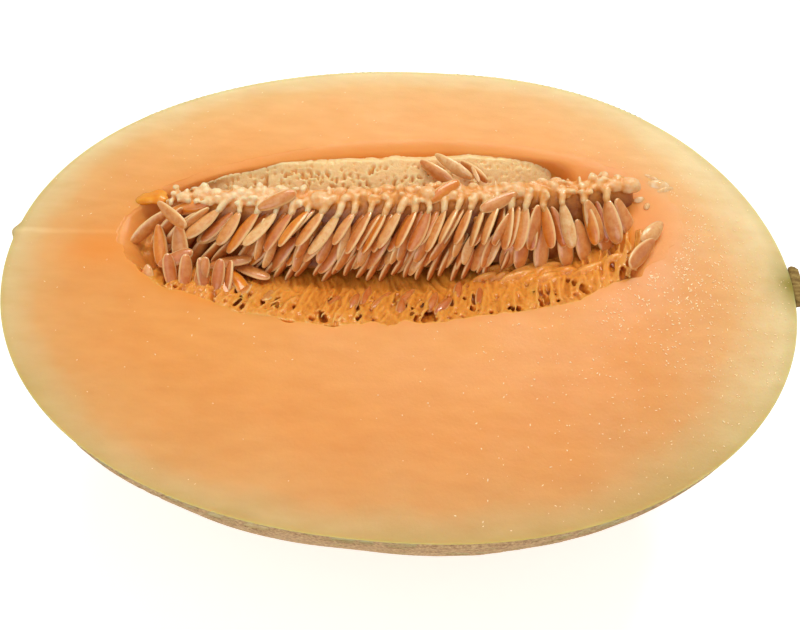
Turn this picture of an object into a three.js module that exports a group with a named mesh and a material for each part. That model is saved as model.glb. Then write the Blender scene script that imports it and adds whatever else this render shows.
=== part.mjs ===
// Half of an oblong, orange-fleshed melon, cut lengthwise and lying on its rind with the cut face up.
//
// Millimetres, +Z up. +X points to the stem end, -X to the blossom end, and -Y is the side whose
// flesh is thicker. The origin is on the surface the fruit rests on, under the middle of its box.
//
// The flesh and its rind grew as one and are one solid, with the seed cavity hollowed in it. The
// cavity holds the pulp bed, the back lobe and the seed ridge, which scoop out separately, and each
// seed is loose in its own jelly.
import * as THREE from "three";

// ---- Driving dimensions ------------------------------------------------------------------------

const LENGTH = 200; // blossom end to stem end
const WIDTH = 144; // across the cut face, which is also the fruit's full depth before it was cut
const GROUND_SPOT = 0.5; // how much of the round back is flattened where the fruit lies
const STEM_END_POWER = 2.27; // 2 is an ellipse, and more is a blunter end
const BLOSSOM_END_POWER = 2.19;
const LEAN = 4.2; // how far the widest place leans towards the stem on +Y, and away from it on -Y
const STEM_FULLNESS = 3.2; // how much fuller the stem half is than the blossom half
const BLOSSOM_NUB = 1.5; // the dried flower's nub stands out by this much
const STUB_RADIUS = 5.6; // the corky stem scar
const STUB_THICKNESS = 2.6;

const CAVITY_LENGTH = 148;
const CAVITY_WIDTH = 62;
const CAVITY_DEPTH = 34;
const CAVITY_SHIFT_X = 1; // the cavity's middle, from the middle of the cut face
const CAVITY_SHIFT_Y = 11;
const CAVITY_TURN = 7; // degrees, from the blossom-to-stem line towards +Y

const SEED_TIP_ROOM = 1.6; // the pulp bed's middle, under the lowest seeds' tips
const BED_FRONT_DROP = 1.8; // the bed's edge under the cut face, on the near side
const BED_BACK_DROP = 11; // and on the far side
const DISH_ACROSS = 1.5; // 1 is a straight slope from the bed's edge to its middle
const DISH_ALONG = 3; // and more is flatter inside

const RIDGE_END_ROOM = 10; // between the ridge's ends and the cavity's
const RIDGE_HEIGHT = 4; // the ridge's crest over the cut face
const RIDGE_CREST = 5; // width of the crest
const RIDGE_BACK_RUN = 3.5; // how far the back of the ridge spreads from crest to foot
const CREST_OFFSET = 4; // the crest's front edge from the cavity's middle line
const CREST_BOW = 3; // how far both ends of the crest bow back towards the far wall
const FRINGE_SLOPE = 58; // degrees: the steep face that the seeds hang down

const LOBE_END = 40; // the back lobe clings to the far wall, from here along the cavity
const LOBE_LEAST = 3.5; // to where it has only this much room behind the ridge
const LOBE_TOP = 2.5; // its rim under the cut face
const LOBE_RIM = 6; // width of that rim
const LOBE_FACE_RUN = 7; // how far its face slopes out from rim to foot
const BACK_SEED_ROOM = 8.5; // the least room between the ridge's foot and the back seeds' points

const SEED_LENGTH = 13;
const SEED_WIDTH = 4.5;
const SEED_THICKNESS = 1.9;
const SEED_SIZE_SPREAD = 0.12; // seeds differ in length by up to this share, either way
const UPPER_SEEDS = 25; // seeds that hang from the crest
const LOWER_SEEDS = 18; // seeds that hang below them
const POCKET_SEEDS = 3; // seeds in the hollow at the near, blossom side
const UPPER_INSET = 16.7; // the upper row begins this far in from the ridge's blossom end
const POCKET_INSET = 18; // the pocket's first seed, and the farthest that the lower row hangs to
const TIER_DROP = 7.2; // the lower seeds start this far down the fringe
const UPPER_LIFT = 27; // degrees that the upper seeds stand off the fringe
const LOWER_LIFT = 3;

const GAP = 0.4; // what touches keeps this clearance
const WALL_GAP = 0.6; // the bed's clearance from the round wall, whose facets differ from its own
const AROUND = 72; // points round the fruit and the cavity

// ---- Small tools -------------------------------------------------------------------------------

const radians = THREE.MathUtils.degToRad;
const CUT_Z = WIDTH / 2 - GROUND_SPOT;
const RIDGE_REACH = CAVITY_LENGTH / 2 - RIDGE_END_ROOM; // from the cavity's middle to its ends
const UPPER_START = UPPER_INSET - RIDGE_REACH;
const POCKET_START = POCKET_INSET - RIDGE_REACH;

// The same numbers from 0 to 1 on every run.
function dice(seed) {
  let state = seed;
  return () => {
    state = (state * 1664525 + 1013904223) % 4294967296;
    return state / 4294967296;
  };
}

// The value at x of straight lines through [x, value] stops.
function between(x, stops) {
  const after = stops.findIndex(([at]) => at > x);
  if (after === 0) return stops[0][1];
  if (after < 0) return stops[stops.length - 1][1];
  const [[x0, v0], [x1, v1]] = [stops[after - 1], stops[after]];
  return THREE.MathUtils.mapLinear(x, x0, x1, v0, v1);
}

// A closed solid through a stack of rings. Both ends close to a point in the middle of their ring.
function loft(rings) {
  const count = rings[0].length;
  const middle = (ring) =>
    ring.reduce((sum, p) => sum.add(p), new THREE.Vector3()).divideScalar(count);
  const points = [middle(rings[0]), ...rings.flat(), middle(rings[rings.length - 1])];
  const at = (ring, i) => 1 + ring * count + (i % count);
  const faces = [];
  for (let i = 0; i < count; i++) {
    faces.push(0, at(0, i + 1), at(0, i));
    faces.push(points.length - 1, at(rings.length - 1, i), at(rings.length - 1, i + 1));
    for (let ring = 0; ring + 1 < rings.length; ring++) {
      faces.push(at(ring, i), at(ring, i + 1), at(ring + 1, i + 1));
      faces.push(at(ring, i), at(ring + 1, i + 1), at(ring + 1, i));
    }
  }
  return new THREE.BufferGeometry().setFromPoints(points).setIndex(faces);
}

const turnAt = (i) => (2 * Math.PI * i) / AROUND;
const ringOf = (pointAt) => Array.from({ length: AROUND }, (_, i) => pointAt(turnAt(i)));
const steps = (from, to, count) =>
  Array.from({ length: count }, (_, i) => THREE.MathUtils.lerp(from, to, i / (count - 1)));

// ---- Flesh and rind ----------------------------------------------------------------------------

// The rind, at turn around the cut face and dip from the cut face (0) to straight down (a quarter
// turn). An oblong superellipse, fuller at the stem, with the dried nub at the blossom end.
function rindPoint(turn, dip) {
  const [c, s] = [Math.cos(turn), Math.sin(turn)];
  const power = c > 0 ? STEM_END_POWER : BLOSSOM_END_POWER;
  const nub = BLOSSOM_NUB * Math.exp(-(((turn - Math.PI) / 0.03) ** 2) - (dip / 0.06) ** 2);
  const x = Math.sign(c) * (LENGTH / 2) * Math.abs(c) ** (2 / power) + LEAN * s ** 3;
  const y = (WIDTH / 2) * s + STEM_FULLNESS * s ** 3 * c;
  const spread = Math.cos(dip);
  return new THREE.Vector3(x * spread - nub, y * spread, CUT_Z - (WIDTH / 2) * Math.sin(dip));
}

// A point of the cavity's own frame, along and across it from its middle, at a height over the cut.
function inCavity(along, across, height) {
  const turn = radians(CAVITY_TURN);
  return new THREE.Vector3(
    CAVITY_SHIFT_X + along * Math.cos(turn) - across * Math.sin(turn),
    CAVITY_SHIFT_Y + along * Math.sin(turn) + across * Math.cos(turn),
    CUT_Z + height,
  );
}

// The cavity's wall, from its middle (share 0) to its edge (share 1), drawn in by a clearance.
function wallPoint(turn, share, clearance = 0) {
  const along = (CAVITY_LENGTH / 2 - clearance) * share * Math.cos(turn);
  const across = (CAVITY_WIDTH / 2 - clearance) * share * Math.sin(turn);
  const depth = (CAVITY_DEPTH - clearance) * Math.sqrt(Math.max(0, 1 - share ** 2));
  return { along, across, height: -depth };
}

function fleshAndRind() {
  const flatDip = Math.asin(CUT_Z / (WIDTH / 2)); // where the round back meets the ground spot
  const rind = steps(flatDip, 0, 14).map((dip) => ringOf((turn) => rindPoint(turn, dip)));
  const cavityRing = (share) =>
    ringOf((turn) => {
      const wall = wallPoint(turn, share);
      return inCavity(wall.along, wall.across, wall.height);
    });
  const cavity = [1, 0.985, 0.94, 0.86, 0.74, 0.58, 0.4, 0.2].map(cavityRing);
  const rim = rind[rind.length - 1];
  const cutFace = [0.3, 0.65].map((share) =>
    rim.map((point, i) => point.clone().lerp(cavity[0][i], share)),
  );
  return loft([...rind, ...cutFace, ...cavity]);
}

// The corky scar where the stem came off, halved by the cut.
function stemStub() {
  const start = LENGTH / 2 + GAP;
  const halfDisc = (radius, x) =>
    steps(Math.PI, 2 * Math.PI, 13).map(
      (turn) =>
        new THREE.Vector3(x, radius * Math.cos(turn), CUT_Z - GAP + radius * Math.sin(turn)),
    );
  return loft([
    halfDisc(STUB_RADIUS, start),
    halfDisc(STUB_RADIUS * 0.96, start + STUB_THICKNESS * 0.6),
    halfDisc(STUB_RADIUS * 0.72, start + STUB_THICKNESS),
  ]);
}

// ---- Pulp --------------------------------------------------------------------------------------

// How far under the cut face the bed's edge meets the wall: little in front, and more behind.
function bedDrop(turn) {
  const back = (1 + Math.sin(turn)) / 2;
  return THREE.MathUtils.lerp(BED_FRONT_DROP, BED_BACK_DROP, back ** 2);
}

// The bed's middle lies under the tips of the longest lower seeds.
function bedDepth() {
  const tip = TIER_DROP + SEED_LENGTH * (1 + SEED_SIZE_SPREAD);
  return tip * Math.sin(radians(FRINGE_SLOPE)) - RIDGE_HEIGHT + 1 + SEED_TIP_ROOM;
}

// The bed's top, which dishes from its edge down to its middle.
function bedTop(turn, share) {
  const dish = THREE.MathUtils.lerp(DISH_ALONG, DISH_ACROSS, Math.sin(turn) ** 2);
  return -THREE.MathUtils.lerp(bedDepth(), bedDrop(turn), share ** dish);
}

// The bed's top under a place in the cavity.
function bedUnder(along, across) {
  const turn = Math.atan2(across / CAVITY_WIDTH, along / CAVITY_LENGTH);
  const share = Math.hypot(along / (CAVITY_LENGTH / 2), across / (CAVITY_WIDTH / 2));
  return bedTop(turn, Math.min(1, share));
}

// The fibrous pulp that fills the bottom of the cavity.
function pulpBed() {
  const edgeShare = (turn) => Math.sqrt(1 - (bedDrop(turn) / CAVITY_DEPTH) ** 2);
  const underside = [0.2, 0.4, 0.58, 0.74, 0.86, 0.94, 0.985, 1].map((share) =>
    ringOf((turn) => {
      const wall = wallPoint(turn, share * edgeShare(turn), WALL_GAP);
      return inCavity(wall.along, wall.across, wall.height);
    }),
  );
  const top = [0.93, 0.8, 0.62, 0.42, 0.2].map((share) =>
    ringOf((turn) => {
      const wall = wallPoint(turn, share * edgeShare(turn), WALL_GAP);
      return inCavity(wall.along, wall.across, bedTop(turn, share));
    }),
  );
  return loft([...underside, ...top]);
}

// The crest's front edge, across the cavity. It bows back at both ends.
const crestAt = (along) => CREST_OFFSET + CREST_BOW * (along / RIDGE_REACH) ** 2;

// A ridge swept along the cavity: outline(along) gives its cross-section as [across, height] points.
function sweep(from, to, count, outline) {
  return loft(
    steps(from, to, count).map((along) =>
      outline(along).map(([across, height]) => inCavity(along, across, height)),
    ),
  );
}

// A blunt taper: 1 over most of a length, falling to two fifths at both ends.
const taper = (along, from, to) => {
  const middle = (from + to) / 2;
  const share = Math.min(1, Math.abs(along - middle) / ((to - from) / 2));
  return 0.4 + 0.6 * Math.sqrt(Math.max(0, 1 - share ** 12));
};

const ridgeTaper = (along) => taper(along, -RIDGE_REACH, RIDGE_REACH);

// Where the ridge's back meets the bed, across the cavity.
const ridgeBackFoot = (along) =>
  crestAt(along) + (RIDGE_CREST + RIDGE_BACK_RUN) * ridgeTaper(along);

// Where the steep face that starts at this place and height comes down to the bed.
function fringeFoot(along, front, top) {
  const slope = Math.tan(radians(FRINGE_SLOPE));
  const heightAt = (across) => top - (front - across) * slope;
  let across = front;
  while (heightAt(across) > bedUnder(along, across) + 3 * GAP) across -= 0.1;
  return [across, heightAt(across)];
}

function seedRidge() {
  return sweep(-RIDGE_REACH, RIDGE_REACH, 25, (along) => {
    const size = ridgeTaper(along);
    const front = crestAt(along);
    const back = front + RIDGE_CREST * size;
    const top = RIDGE_HEIGHT * size;
    const backFoot = ridgeBackFoot(along);
    const backBed = Math.max(bedUnder(along, backFoot), bedUnder(along, front));
    const [frontFoot, footHeight] = fringeFoot(along, front, top - 1);
    return [
      [backFoot, backBed + 3 * GAP],
      [back, top - 1],
      [back - 1, top],
      [front + 1, top],
      [front, top - 1],
      [(frontFoot + front) / 2, (footHeight + top - 1) / 2],
      [frontFoot, footHeight],
    ];
  });
}

// How far across the cavity its wall is, at a place along it and a depth under the cut.
function wallAcross(along, depth) {
  const left = 1 - (along / (CAVITY_LENGTH / 2)) ** 2 - (depth / CAVITY_DEPTH) ** 2;
  return (CAVITY_WIDTH / 2) * Math.sqrt(Math.max(0, left));
}

const lobeRoom = (along) => wallAcross(along, BED_BACK_DROP) - ridgeBackFoot(along);

// The blossom end of the lobe, where the channel behind the ridge gets too narrow for it.
function lobeStart() {
  let along = LOBE_END;
  while (lobeRoom(along - 0.5) > LOBE_LEAST) along -= 0.5;
  return along;
}

// The pale lobe between the ridge and the far wall.
function backLobe() {
  const start = lobeStart();
  return sweep(start, LOBE_END, 21, (along) => {
    const size = taper(along, start, LOBE_END);
    const deepest = wallAcross(along, BED_BACK_DROP);
    const foot = Math.min(BED_BACK_DROP, -bedUnder(along, deepest)) - 4 * GAP;
    const rim = LOBE_TOP + (foot - LOBE_TOP) * 0.6 * (1 - size);
    const back = wallAcross(along, foot) - 3 * GAP;
    const clear = ridgeBackFoot(along) + 2 * GAP;
    const front = Math.max(back - LOBE_RIM * size, clear + 0.5);
    const frontFoot = Math.max(front - LOBE_FACE_RUN * size, clear);
    return [
      [back, -foot],
      [back, -rim - 0.6],
      [back - 0.5, -rim],
      [front + 0.5, -rim],
      [front, -rim - 0.6],
      [frontFoot, -foot],
    ];
  });
}

// ---- Seeds -------------------------------------------------------------------------------------

// How full a seed is along its length: a teardrop, fuller towards its round end.
const SEED_STATIONS = [0.06, 0.22, 0.42, 0.62, 0.8, 0.94];
const seedFullness = (share) => Math.sqrt(1 - (2 * share - 1) ** 2) * (0.8 + 0.25 * share);

// A flat teardrop along +Z, from its point at the origin to its round end, broad across X.
function seedShape(length, width, thickness) {
  const around = 8;
  return loft(
    SEED_STATIONS.map((share) =>
      Array.from({ length: around }, (_, i) => {
        const turn = (2 * Math.PI * i) / around;
        return new THREE.Vector3(
          (width / 2) * seedFullness(share) * Math.cos(turn),
          (thickness / 2) * seedFullness(share) * Math.sin(turn),
          length * share,
        );
      }),
    ),
  );
}

// The fringe's own directions: along the crest, down the steep face, and out of it.
function fringeAxes() {
  const origin = inCavity(0, 0, 0);
  const slope = radians(FRINGE_SLOPE);
  const direction = (along, across, height) => inCavity(along, across, height).sub(origin);
  return {
    along: direction(1, 0, 0),
    down: direction(0, -Math.cos(slope), -Math.sin(slope)),
    out: direction(0, -Math.sin(slope), Math.cos(slope)),
  };
}

// Which way a seed of the fringe points: down it, leaning to the blossom end, and lifted off it.
function fringeWay(lean, lift) {
  const { along, down, out } = fringeAxes();
  return new THREE.Vector3()
    .addScaledVector(along, -Math.sin(lean) * Math.cos(lift))
    .addScaledVector(down, Math.cos(lean) * Math.cos(lift))
    .addScaledVector(out, Math.sin(lift));
}

// Turns a seed so that its round end is this way, its face looks that way, and then by a twist.
function seedTurn(pointing, facing, twist) {
  const face = facing.clone().addScaledVector(pointing, -facing.dot(pointing)).normalize();
  const side = new THREE.Vector3().crossVectors(face, pointing);
  const basis = new THREE.Matrix4().makeBasis(side, face, pointing);
  const spin = new THREE.Matrix4().makeRotationAxis(pointing, twist);
  return new THREE.Quaternion().setFromRotationMatrix(spin.multiply(basis));
}

// How far apart along a row two seeds of this lean and twist have to stand.
function seedPitch(lean, twist) {
  const overlapped = (SEED_THICKNESS + 2 * GAP) / Math.max(0.2, Math.sin(Math.abs(twist)));
  const abreast =
    SEED_WIDTH * Math.cos(twist) + SEED_THICKNESS * Math.sin(Math.abs(twist)) + 2 * GAP;
  return Math.min(overlapped, abreast) / Math.cos(lean);
}

// How the seeds stand along the crest, in degrees: leaning to the blossom end, then to the stem.
const LEANS = [
  [-48, 44],
  [-25, 42],
  [5, 36],
  [24, 28],
  [34, 6],
  [42, -16],
  [62, -24],
];
const TWISTS = [
  [-48, 44],
  [-30, 60],
  [22, 62],
  [34, 36],
  [44, 20],
  [62, 24],
];

// How far the longest seed that leans as the rows' first ones do hangs past where it starts.
const overhang = () =>
  SEED_LENGTH * (1 + SEED_SIZE_SPREAD) * Math.sin(radians(LEANS[0][1]));

// How far a seed's point stands off the fringe for the rest of it to clear the fringe.
function standOff(twist, lift) {
  const broad = (SEED_WIDTH / 2) * Math.sin(Math.abs(twist));
  const half = broad + (SEED_THICKNESS / 2) * Math.cos(twist);
  const needed = SEED_STATIONS.map(
    (share) => half * seedFullness(share) - SEED_LENGTH * share * Math.sin(lift),
  );
  return Math.max(...needed) + 1.5 * GAP;
}

// A row of seeds along the fringe, from one place on until the row or its count ends.
function seedRow(name, { from, to, count, drop, liftDegrees, seed }) {
  const random = dice(seed);
  const axes = fringeAxes();
  const row = [];
  let along = from;
  while (along <= to && row.length < count) {
    const lean = radians(between(along, LEANS) + 5 * (random() - 0.5));
    const twist = radians(between(along, TWISTS) + 6 * (random() - 0.5));
    const size = 1 + SEED_SIZE_SPREAD * (2 * random() - 1);
    const lift = radians(liftDegrees);
    const place = inCavity(along, crestAt(along), RIDGE_HEIGHT - 1)
      .addScaledVector(axes.down, drop + 0.8 * (random() - 0.5))
      .addScaledVector(axes.out, standOff(twist, lift));
    row.push({ place, turn: seedTurn(fringeWay(lean, lift), axes.out, twist), size });
    along += seedPitch(lean, twist);
  }
  return row.map((placed, i) => ({ name: `${name}_${String(i + 1).padStart(2, "0")}`, ...placed }));
}

// Seeds that lie on the bed, side by side, with their round ends towards the near wall.
function pocketSeeds() {
  const onBed = (along, across) =>
    inCavity(along, across, bedUnder(along, across) + SEED_THICKNESS / 2 + 2 * GAP);
  return Array.from({ length: POCKET_SEEDS }, (_, i) => {
    const along = POCKET_START + i * (SEED_WIDTH + 2 * GAP);
    const end = SEED_WIDTH / 2 + GAP - wallAcross(along, BED_FRONT_DROP);
    const place = onBed(along, end + SEED_LENGTH);
    const pointing = onBed(along, end).sub(place).normalize();
    const turn = seedTurn(pointing, new THREE.Vector3(0, 0, 1), radians(8));
    return { name: `pocket_seed_${i + 1}`, place, turn, size: 0.95 };
  });
}

// Seeds that lie by themselves: where their point is in the cavity, and how they are turned.
function looseSeeds() {
  const { out } = fringeAxes();
  const hangsTo = UPPER_START - overhang();
  const lobeFront = (along) =>
    Math.max(wallAcross(along, LOBE_TOP) - LOBE_RIM, ridgeBackFoot(along) + BACK_SEED_ROOM);
  const onLobe = SEED_THICKNESS / 2 + 2 * GAP - LOBE_TOP;
  const overFirst = onLobe + SEED_THICKNESS + GAP;
  const loose = (name, place, lean, lift, twist, size) => ({
    name,
    place: inCavity(...place),
    turn: seedTurn(fringeWay(radians(lean), radians(lift)), out, radians(twist)),
    size,
  });
  return [
    loose("blossom_side_seed_1", [hangsTo - 6.2, 1, 2], -8, 30, 8, 0.9),
    loose("blossom_side_seed_2", [hangsTo - 0.8, 0.6, 2.6], -4, 24, 10, 1),
    loose("blossom_side_seed_3", [hangsTo - 6.4, 5, 5.4], -60, 30, 10, 0.9),
    loose("back_seed_1", [5.4, lobeFront(5.4) - 1.2, onLobe], -64, 35, 0, 1),
    loose("back_seed_2", [9.6, lobeFront(9.6) - 0.8, overFirst], -64, 35, 0, 1.05),
    loose("back_seed_3", [17, lobeFront(17) - 1.2, onLobe], -62, 37, 0, 0.85),
    loose("stem_side_seed_1", [RIDGE_REACH + 1, -9, 2], 62, 34, 10, 1.05),
    loose("stem_side_seed_2", [RIDGE_REACH + 4.5, -3, 1.5], 66, 34, 12, 0.85),
  ];
}

// ---- The assembly ------------------------------------------------------------------------------

const finish = (color, roughness) =>
  new THREE.MeshStandardMaterial({ color, roughness, metalness: 0 });
const FLESH = finish(0xeda55a, 0.45);
const CORK = finish(0x8f7a3c, 0.85);
const PULP = finish(0xe39a3e, 0.35);
const PLACENTA = finish(0xf6d9a4, 0.4);
const SEED_COAT = finish(0xcfa071, 0.35);

const fruit = new THREE.Group();

function add(name, geometry, material) {
  const mesh = new THREE.Mesh(geometry, material);
  mesh.name = name;
  fruit.add(mesh);
  return mesh;
}

add("flesh_and_rind", fleshAndRind(), FLESH);
add("stem_stub", stemStub(), CORK);
add("pulp_bed", pulpBed(), PULP);
add("seed_ridge", seedRidge(), PLACENTA);
add("back_lobe", backLobe(), PLACENTA);

const seeds = [
  ...seedRow("upper_seed", {
    from: UPPER_START,
    to: RIDGE_REACH - SEED_WIDTH,
    count: UPPER_SEEDS,
    drop: 1,
    liftDegrees: UPPER_LIFT,
    seed: 11,
  }),
  ...seedRow("lower_seed", {
    from: POCKET_START + overhang(),
    to: RIDGE_REACH - 2 * SEED_WIDTH,
    count: LOWER_SEEDS,
    drop: TIER_DROP,
    liftDegrees: LOWER_LIFT,
    seed: 29,
  }),
  ...pocketSeeds(),
  ...looseSeeds(),
];
for (const { name, place, turn, size } of seeds) {
  const shape = seedShape(SEED_LENGTH * size, SEED_WIDTH, SEED_THICKNESS);
  const mesh = add(name, shape, SEED_COAT);
  mesh.position.copy(place);
  mesh.quaternion.copy(turn);
}

// The origin goes under the middle of the whole fruit.
const box = new THREE.Box3().setFromObject(fruit);
fruit.position.set(-(box.min.x + box.max.x) / 2, -(box.min.y + box.max.y) / 2, 0);

export default fruit;
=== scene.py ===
from math import cos, pi, radians, sin, tan

import bpy
import numpy as np
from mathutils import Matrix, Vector


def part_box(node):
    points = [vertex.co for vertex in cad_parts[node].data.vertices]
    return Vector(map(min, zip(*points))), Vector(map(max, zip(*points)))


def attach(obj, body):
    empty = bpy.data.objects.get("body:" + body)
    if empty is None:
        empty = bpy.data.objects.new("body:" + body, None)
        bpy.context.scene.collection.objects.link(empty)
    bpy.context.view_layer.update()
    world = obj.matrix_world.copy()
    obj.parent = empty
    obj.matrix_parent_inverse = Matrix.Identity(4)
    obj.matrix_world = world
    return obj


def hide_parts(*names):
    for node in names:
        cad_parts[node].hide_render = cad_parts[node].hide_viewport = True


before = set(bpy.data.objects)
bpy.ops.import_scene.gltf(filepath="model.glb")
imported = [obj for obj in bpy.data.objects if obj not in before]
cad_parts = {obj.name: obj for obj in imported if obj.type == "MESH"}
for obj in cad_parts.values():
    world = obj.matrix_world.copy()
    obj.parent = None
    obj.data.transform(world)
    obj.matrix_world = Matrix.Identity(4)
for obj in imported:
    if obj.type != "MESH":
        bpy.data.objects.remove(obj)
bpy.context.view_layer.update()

# Half of an oblong, orange-fleshed netted melon, cut lengthwise, with its seeds still in it.
# Everything is worked out in millimetres from the middle of the cut face: +X to the stem,
# +Y to the far side, +Z up. placed() turns that into the frame's metres.

MM = 0.001  # a millimetre, in the frame's metres

# ---- Sizes, in millimetres -----------------------------------------------------------------------

LENGTH = 200.0
WIDTH = 144.0
GROUND = -71.5  # where the melon rests
STEM_END_POWER = 2.27  # 2 would be an ellipse, and more is blunter
BLOSSOM_END_POWER = 2.19
LEAN = 4.2  # the far side stands this much nearer the stem
STEM_FULLNESS = 3.2
BLOSSOM_NUB = 1.5
BLUNT_EDGE = 0.35  # how far below the cut face the rind stops

CAVITY_LENGTH = 148.0
CAVITY_WIDTH = 62.0
CAVITY_DEPTH = 34.0
CAVITY_MIDDLE = (1.0, 11.0)
CAVITY_TURN = radians(7)
BOWL_DEPTH = 6.5  # where the flesh runs into the hollow
BED_DEPTH = 14.5  # down to the pulp, in the middle of the hollow

RIDGE_REACH = 64.0  # from the hollow's middle to each end of the crest
RIDGE_TOP = 4.0
RIDGE_FOOT = -12.0
FRINGE_SLOPE = radians(58)

SEED_WIDTH = 4.5
SEED_THICKNESS = 1.9
TUCKED_THICKNESS = 1.75
BEADS = 1300

FLESH_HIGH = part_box("flesh_and_rind")[1]
ORIGIN = np.array([FLESH_HIGH[0] - LENGTH / 2000, 0.0, FLESH_HIGH[2]])

# ---- Small tools ---------------------------------------------------------------------------------


def placed(points):
    """Millimetres from the middle of the cut face, as metres in the frame."""
    return np.asarray(points, float) / 1000 + ORIGIN


def in_cavity(along, across, height=0.0):
    """Points given along and across the seed cavity, from its middle."""
    along, across, height = np.broadcast_arrays(along, across, height)
    c, s = cos(CAVITY_TURN), sin(CAVITY_TURN)
    x = CAVITY_MIDDLE[0] + along * c - across * s
    y = CAVITY_MIDDLE[1] + along * s + across * c
    return np.stack([x, y, height], -1).astype(float)


def cavity_place(points):
    """The other way round: along and across the cavity, of points on the melon."""
    dx = points[..., 0] - CAVITY_MIDDLE[0]
    dy = points[..., 1] - CAVITY_MIDDLE[1]
    c, s = cos(CAVITY_TURN), sin(CAVITY_TURN)
    return dx * c + dy * s, -dx * s + dy * c


def ease(low, high, value):
    """0 below low, 1 above high, and smooth between them."""
    share = np.clip((np.asarray(value, float) - low) / (high - low), 0, 1)
    return share * share * (3 - 2 * share)


def dice(cells, seed):
    """A random number from 0 to 1 for each whole-numbered cell, the same on every run."""
    mixed = np.full(cells.shape[:-1], seed * 2654435761 % 2**32, np.uint64)
    for axis, prime in zip(range(cells.shape[-1]), (73856093, 19349663, 83492791)):
        cell = (cells[..., axis].astype(np.int64) + 2**20).astype(np.uint64)
        mixed = (mixed ^ (cell * np.uint64(prime))) & np.uint64(0xFFFFFFFF)
        mixed = (mixed * np.uint64(2246822519) + np.uint64(3266489917)) & np.uint64(0xFFFFFFFF)
        mixed = mixed ^ (mixed >> np.uint64(15))
    return mixed.astype(float) / 2**32


def cloud(points, size, seed, layers):
    """Soft lumps from -1 to 1 over the points, the largest as far apart as size."""
    points = np.asarray(points, float)
    total, weight = np.zeros(points.shape[:-1]), 0.0
    for layer in range(layers):
        scaled = points / size * 2**layer + 17.3 * layer
        cell = np.floor(scaled)
        part = scaled - cell
        part = part * part * (3 - 2 * part)
        value = np.zeros(points.shape[:-1])
        dims = points.shape[-1]
        for corner in range(2**dims):
            bits = np.array([(corner >> axis) & 1 for axis in range(dims)])
            share = np.prod(np.where(bits, part, 1 - part), axis=-1)
            value += share * dice(cell + bits, seed + layer)
        total += (2 * value - 1) / 2**layer
        weight += 1 / 2**layer
    return total / weight


def crackle(points, size, seed):
    """How far, in mm, each point is from the nearest border between random cells of this size."""
    scaled = points / size
    cell = np.floor(scaled)
    nearest = np.full(points.shape[:-1], 9.0)
    second = nearest.copy()
    for corner in range(27):
        step = np.array([corner % 3 - 1, corner // 3 % 3 - 1, corner // 9 - 1])
        spot = cell + step
        jitter = np.stack([dice(spot, seed + 31 * axis) for axis in range(3)], -1)
        gap = np.linalg.norm(spot + 0.1 + 0.8 * jitter - scaled, axis=-1)
        second = np.minimum(second, np.maximum(nearest, gap))
        nearest = np.minimum(nearest, gap)
    return (second - nearest) * size / 2


def unit(vector):
    """The vector's direction, one long."""
    return np.asarray(vector, float) / np.linalg.norm(vector)


# ---- Shapes: each is a pair of points and faces --------------------------------------------------


def loft(rings):
    """A skin over a stack of closed rings, with both ends closed to their middles."""
    rings = [np.asarray(ring, float) for ring in rings]
    count = len(rings[0])
    here = np.arange(count)
    after = (here + 1) % count
    faces = []
    for row in range(len(rings) - 1):
        low, high = 1 + row * count, 1 + (row + 1) * count
        faces += np.stack([low + here, low + after, high + after, high + here], -1).tolist()
    last = 1 + (len(rings) - 1) * count
    tip = last + count
    faces += np.stack([np.zeros_like(here), 1 + after, 1 + here], -1).tolist()
    faces += np.stack([np.full_like(here, tip), last + here, last + after], -1).tolist()
    points = np.vstack([rings[0].mean(0), *rings, rings[-1].mean(0)])
    return points, faces


def joined(shapes):
    """Several shapes as one."""
    points, faces, start = [], [], 0
    for shape_points, shape_faces in shapes:
        points.append(shape_points)
        faces += [[start + i for i in face] for face in shape_faces]
        start += len(shape_points)
    return np.vstack(points), faces


def tube(path, radii, sides):
    """A round strand along a path, thick as the radii say, and closed at both ends."""
    path = np.asarray(path, float)
    radii = np.broadcast_to(np.asarray(radii, float), len(path))
    ways = np.gradient(path, axis=0)
    side = np.array([0.31, 0.17, 0.93])  # any way that no strand runs along
    rings = []
    for spot, way, radius in zip(path, ways, radii):
        way = unit(way)
        side = unit(side - way * side.dot(way))
        other = np.cross(way, side)
        turn = 2 * pi * np.arange(sides) / sides
        ring = np.outer(np.cos(turn), side) + np.outer(np.sin(turn), other)
        rings.append(spot + radius * ring)
    return loft(rings)


def blob(middle, radii, seed, rough, sides=12):
    """A rounded lump with an uneven skin, which swells and sinks by the share that rough gives."""
    rings = []
    for lift in np.linspace(-0.96, 0.96, sides - 3):
        turn = 2 * pi * np.arange(sides) / sides
        width = np.sqrt(1 - lift**2)
        rings.append(np.stack([width * np.cos(turn), width * np.sin(turn), lift + 0 * turn], -1))
    points, faces = loft(rings)
    points *= 1 + rough * cloud(points * 1.4 + seed * 3.7, 1.0, 5, 2)[:, None]
    return points * np.asarray(radii, float) + np.asarray(middle, float), faces


def piece(name, shape, materials, **per_point):
    """A mesh object from a shape in mm, with numbers per point that its materials read."""
    points, faces = shape
    mesh = bpy.data.meshes.new(name)
    mesh.from_pydata(placed(points).tolist(), [], faces)
    for material in materials:
        mesh.materials.append(material)
    for key, values in per_point.items():
        mesh.attributes.new(key, "FLOAT", "POINT").data.foreach_set(
            "value", np.broadcast_to(values, len(points)).astype(np.float32)
        )
    mesh.shade_smooth()
    made = bpy.data.objects.new(name, mesh)
    bpy.context.scene.collection.objects.link(made)
    return made


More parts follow.
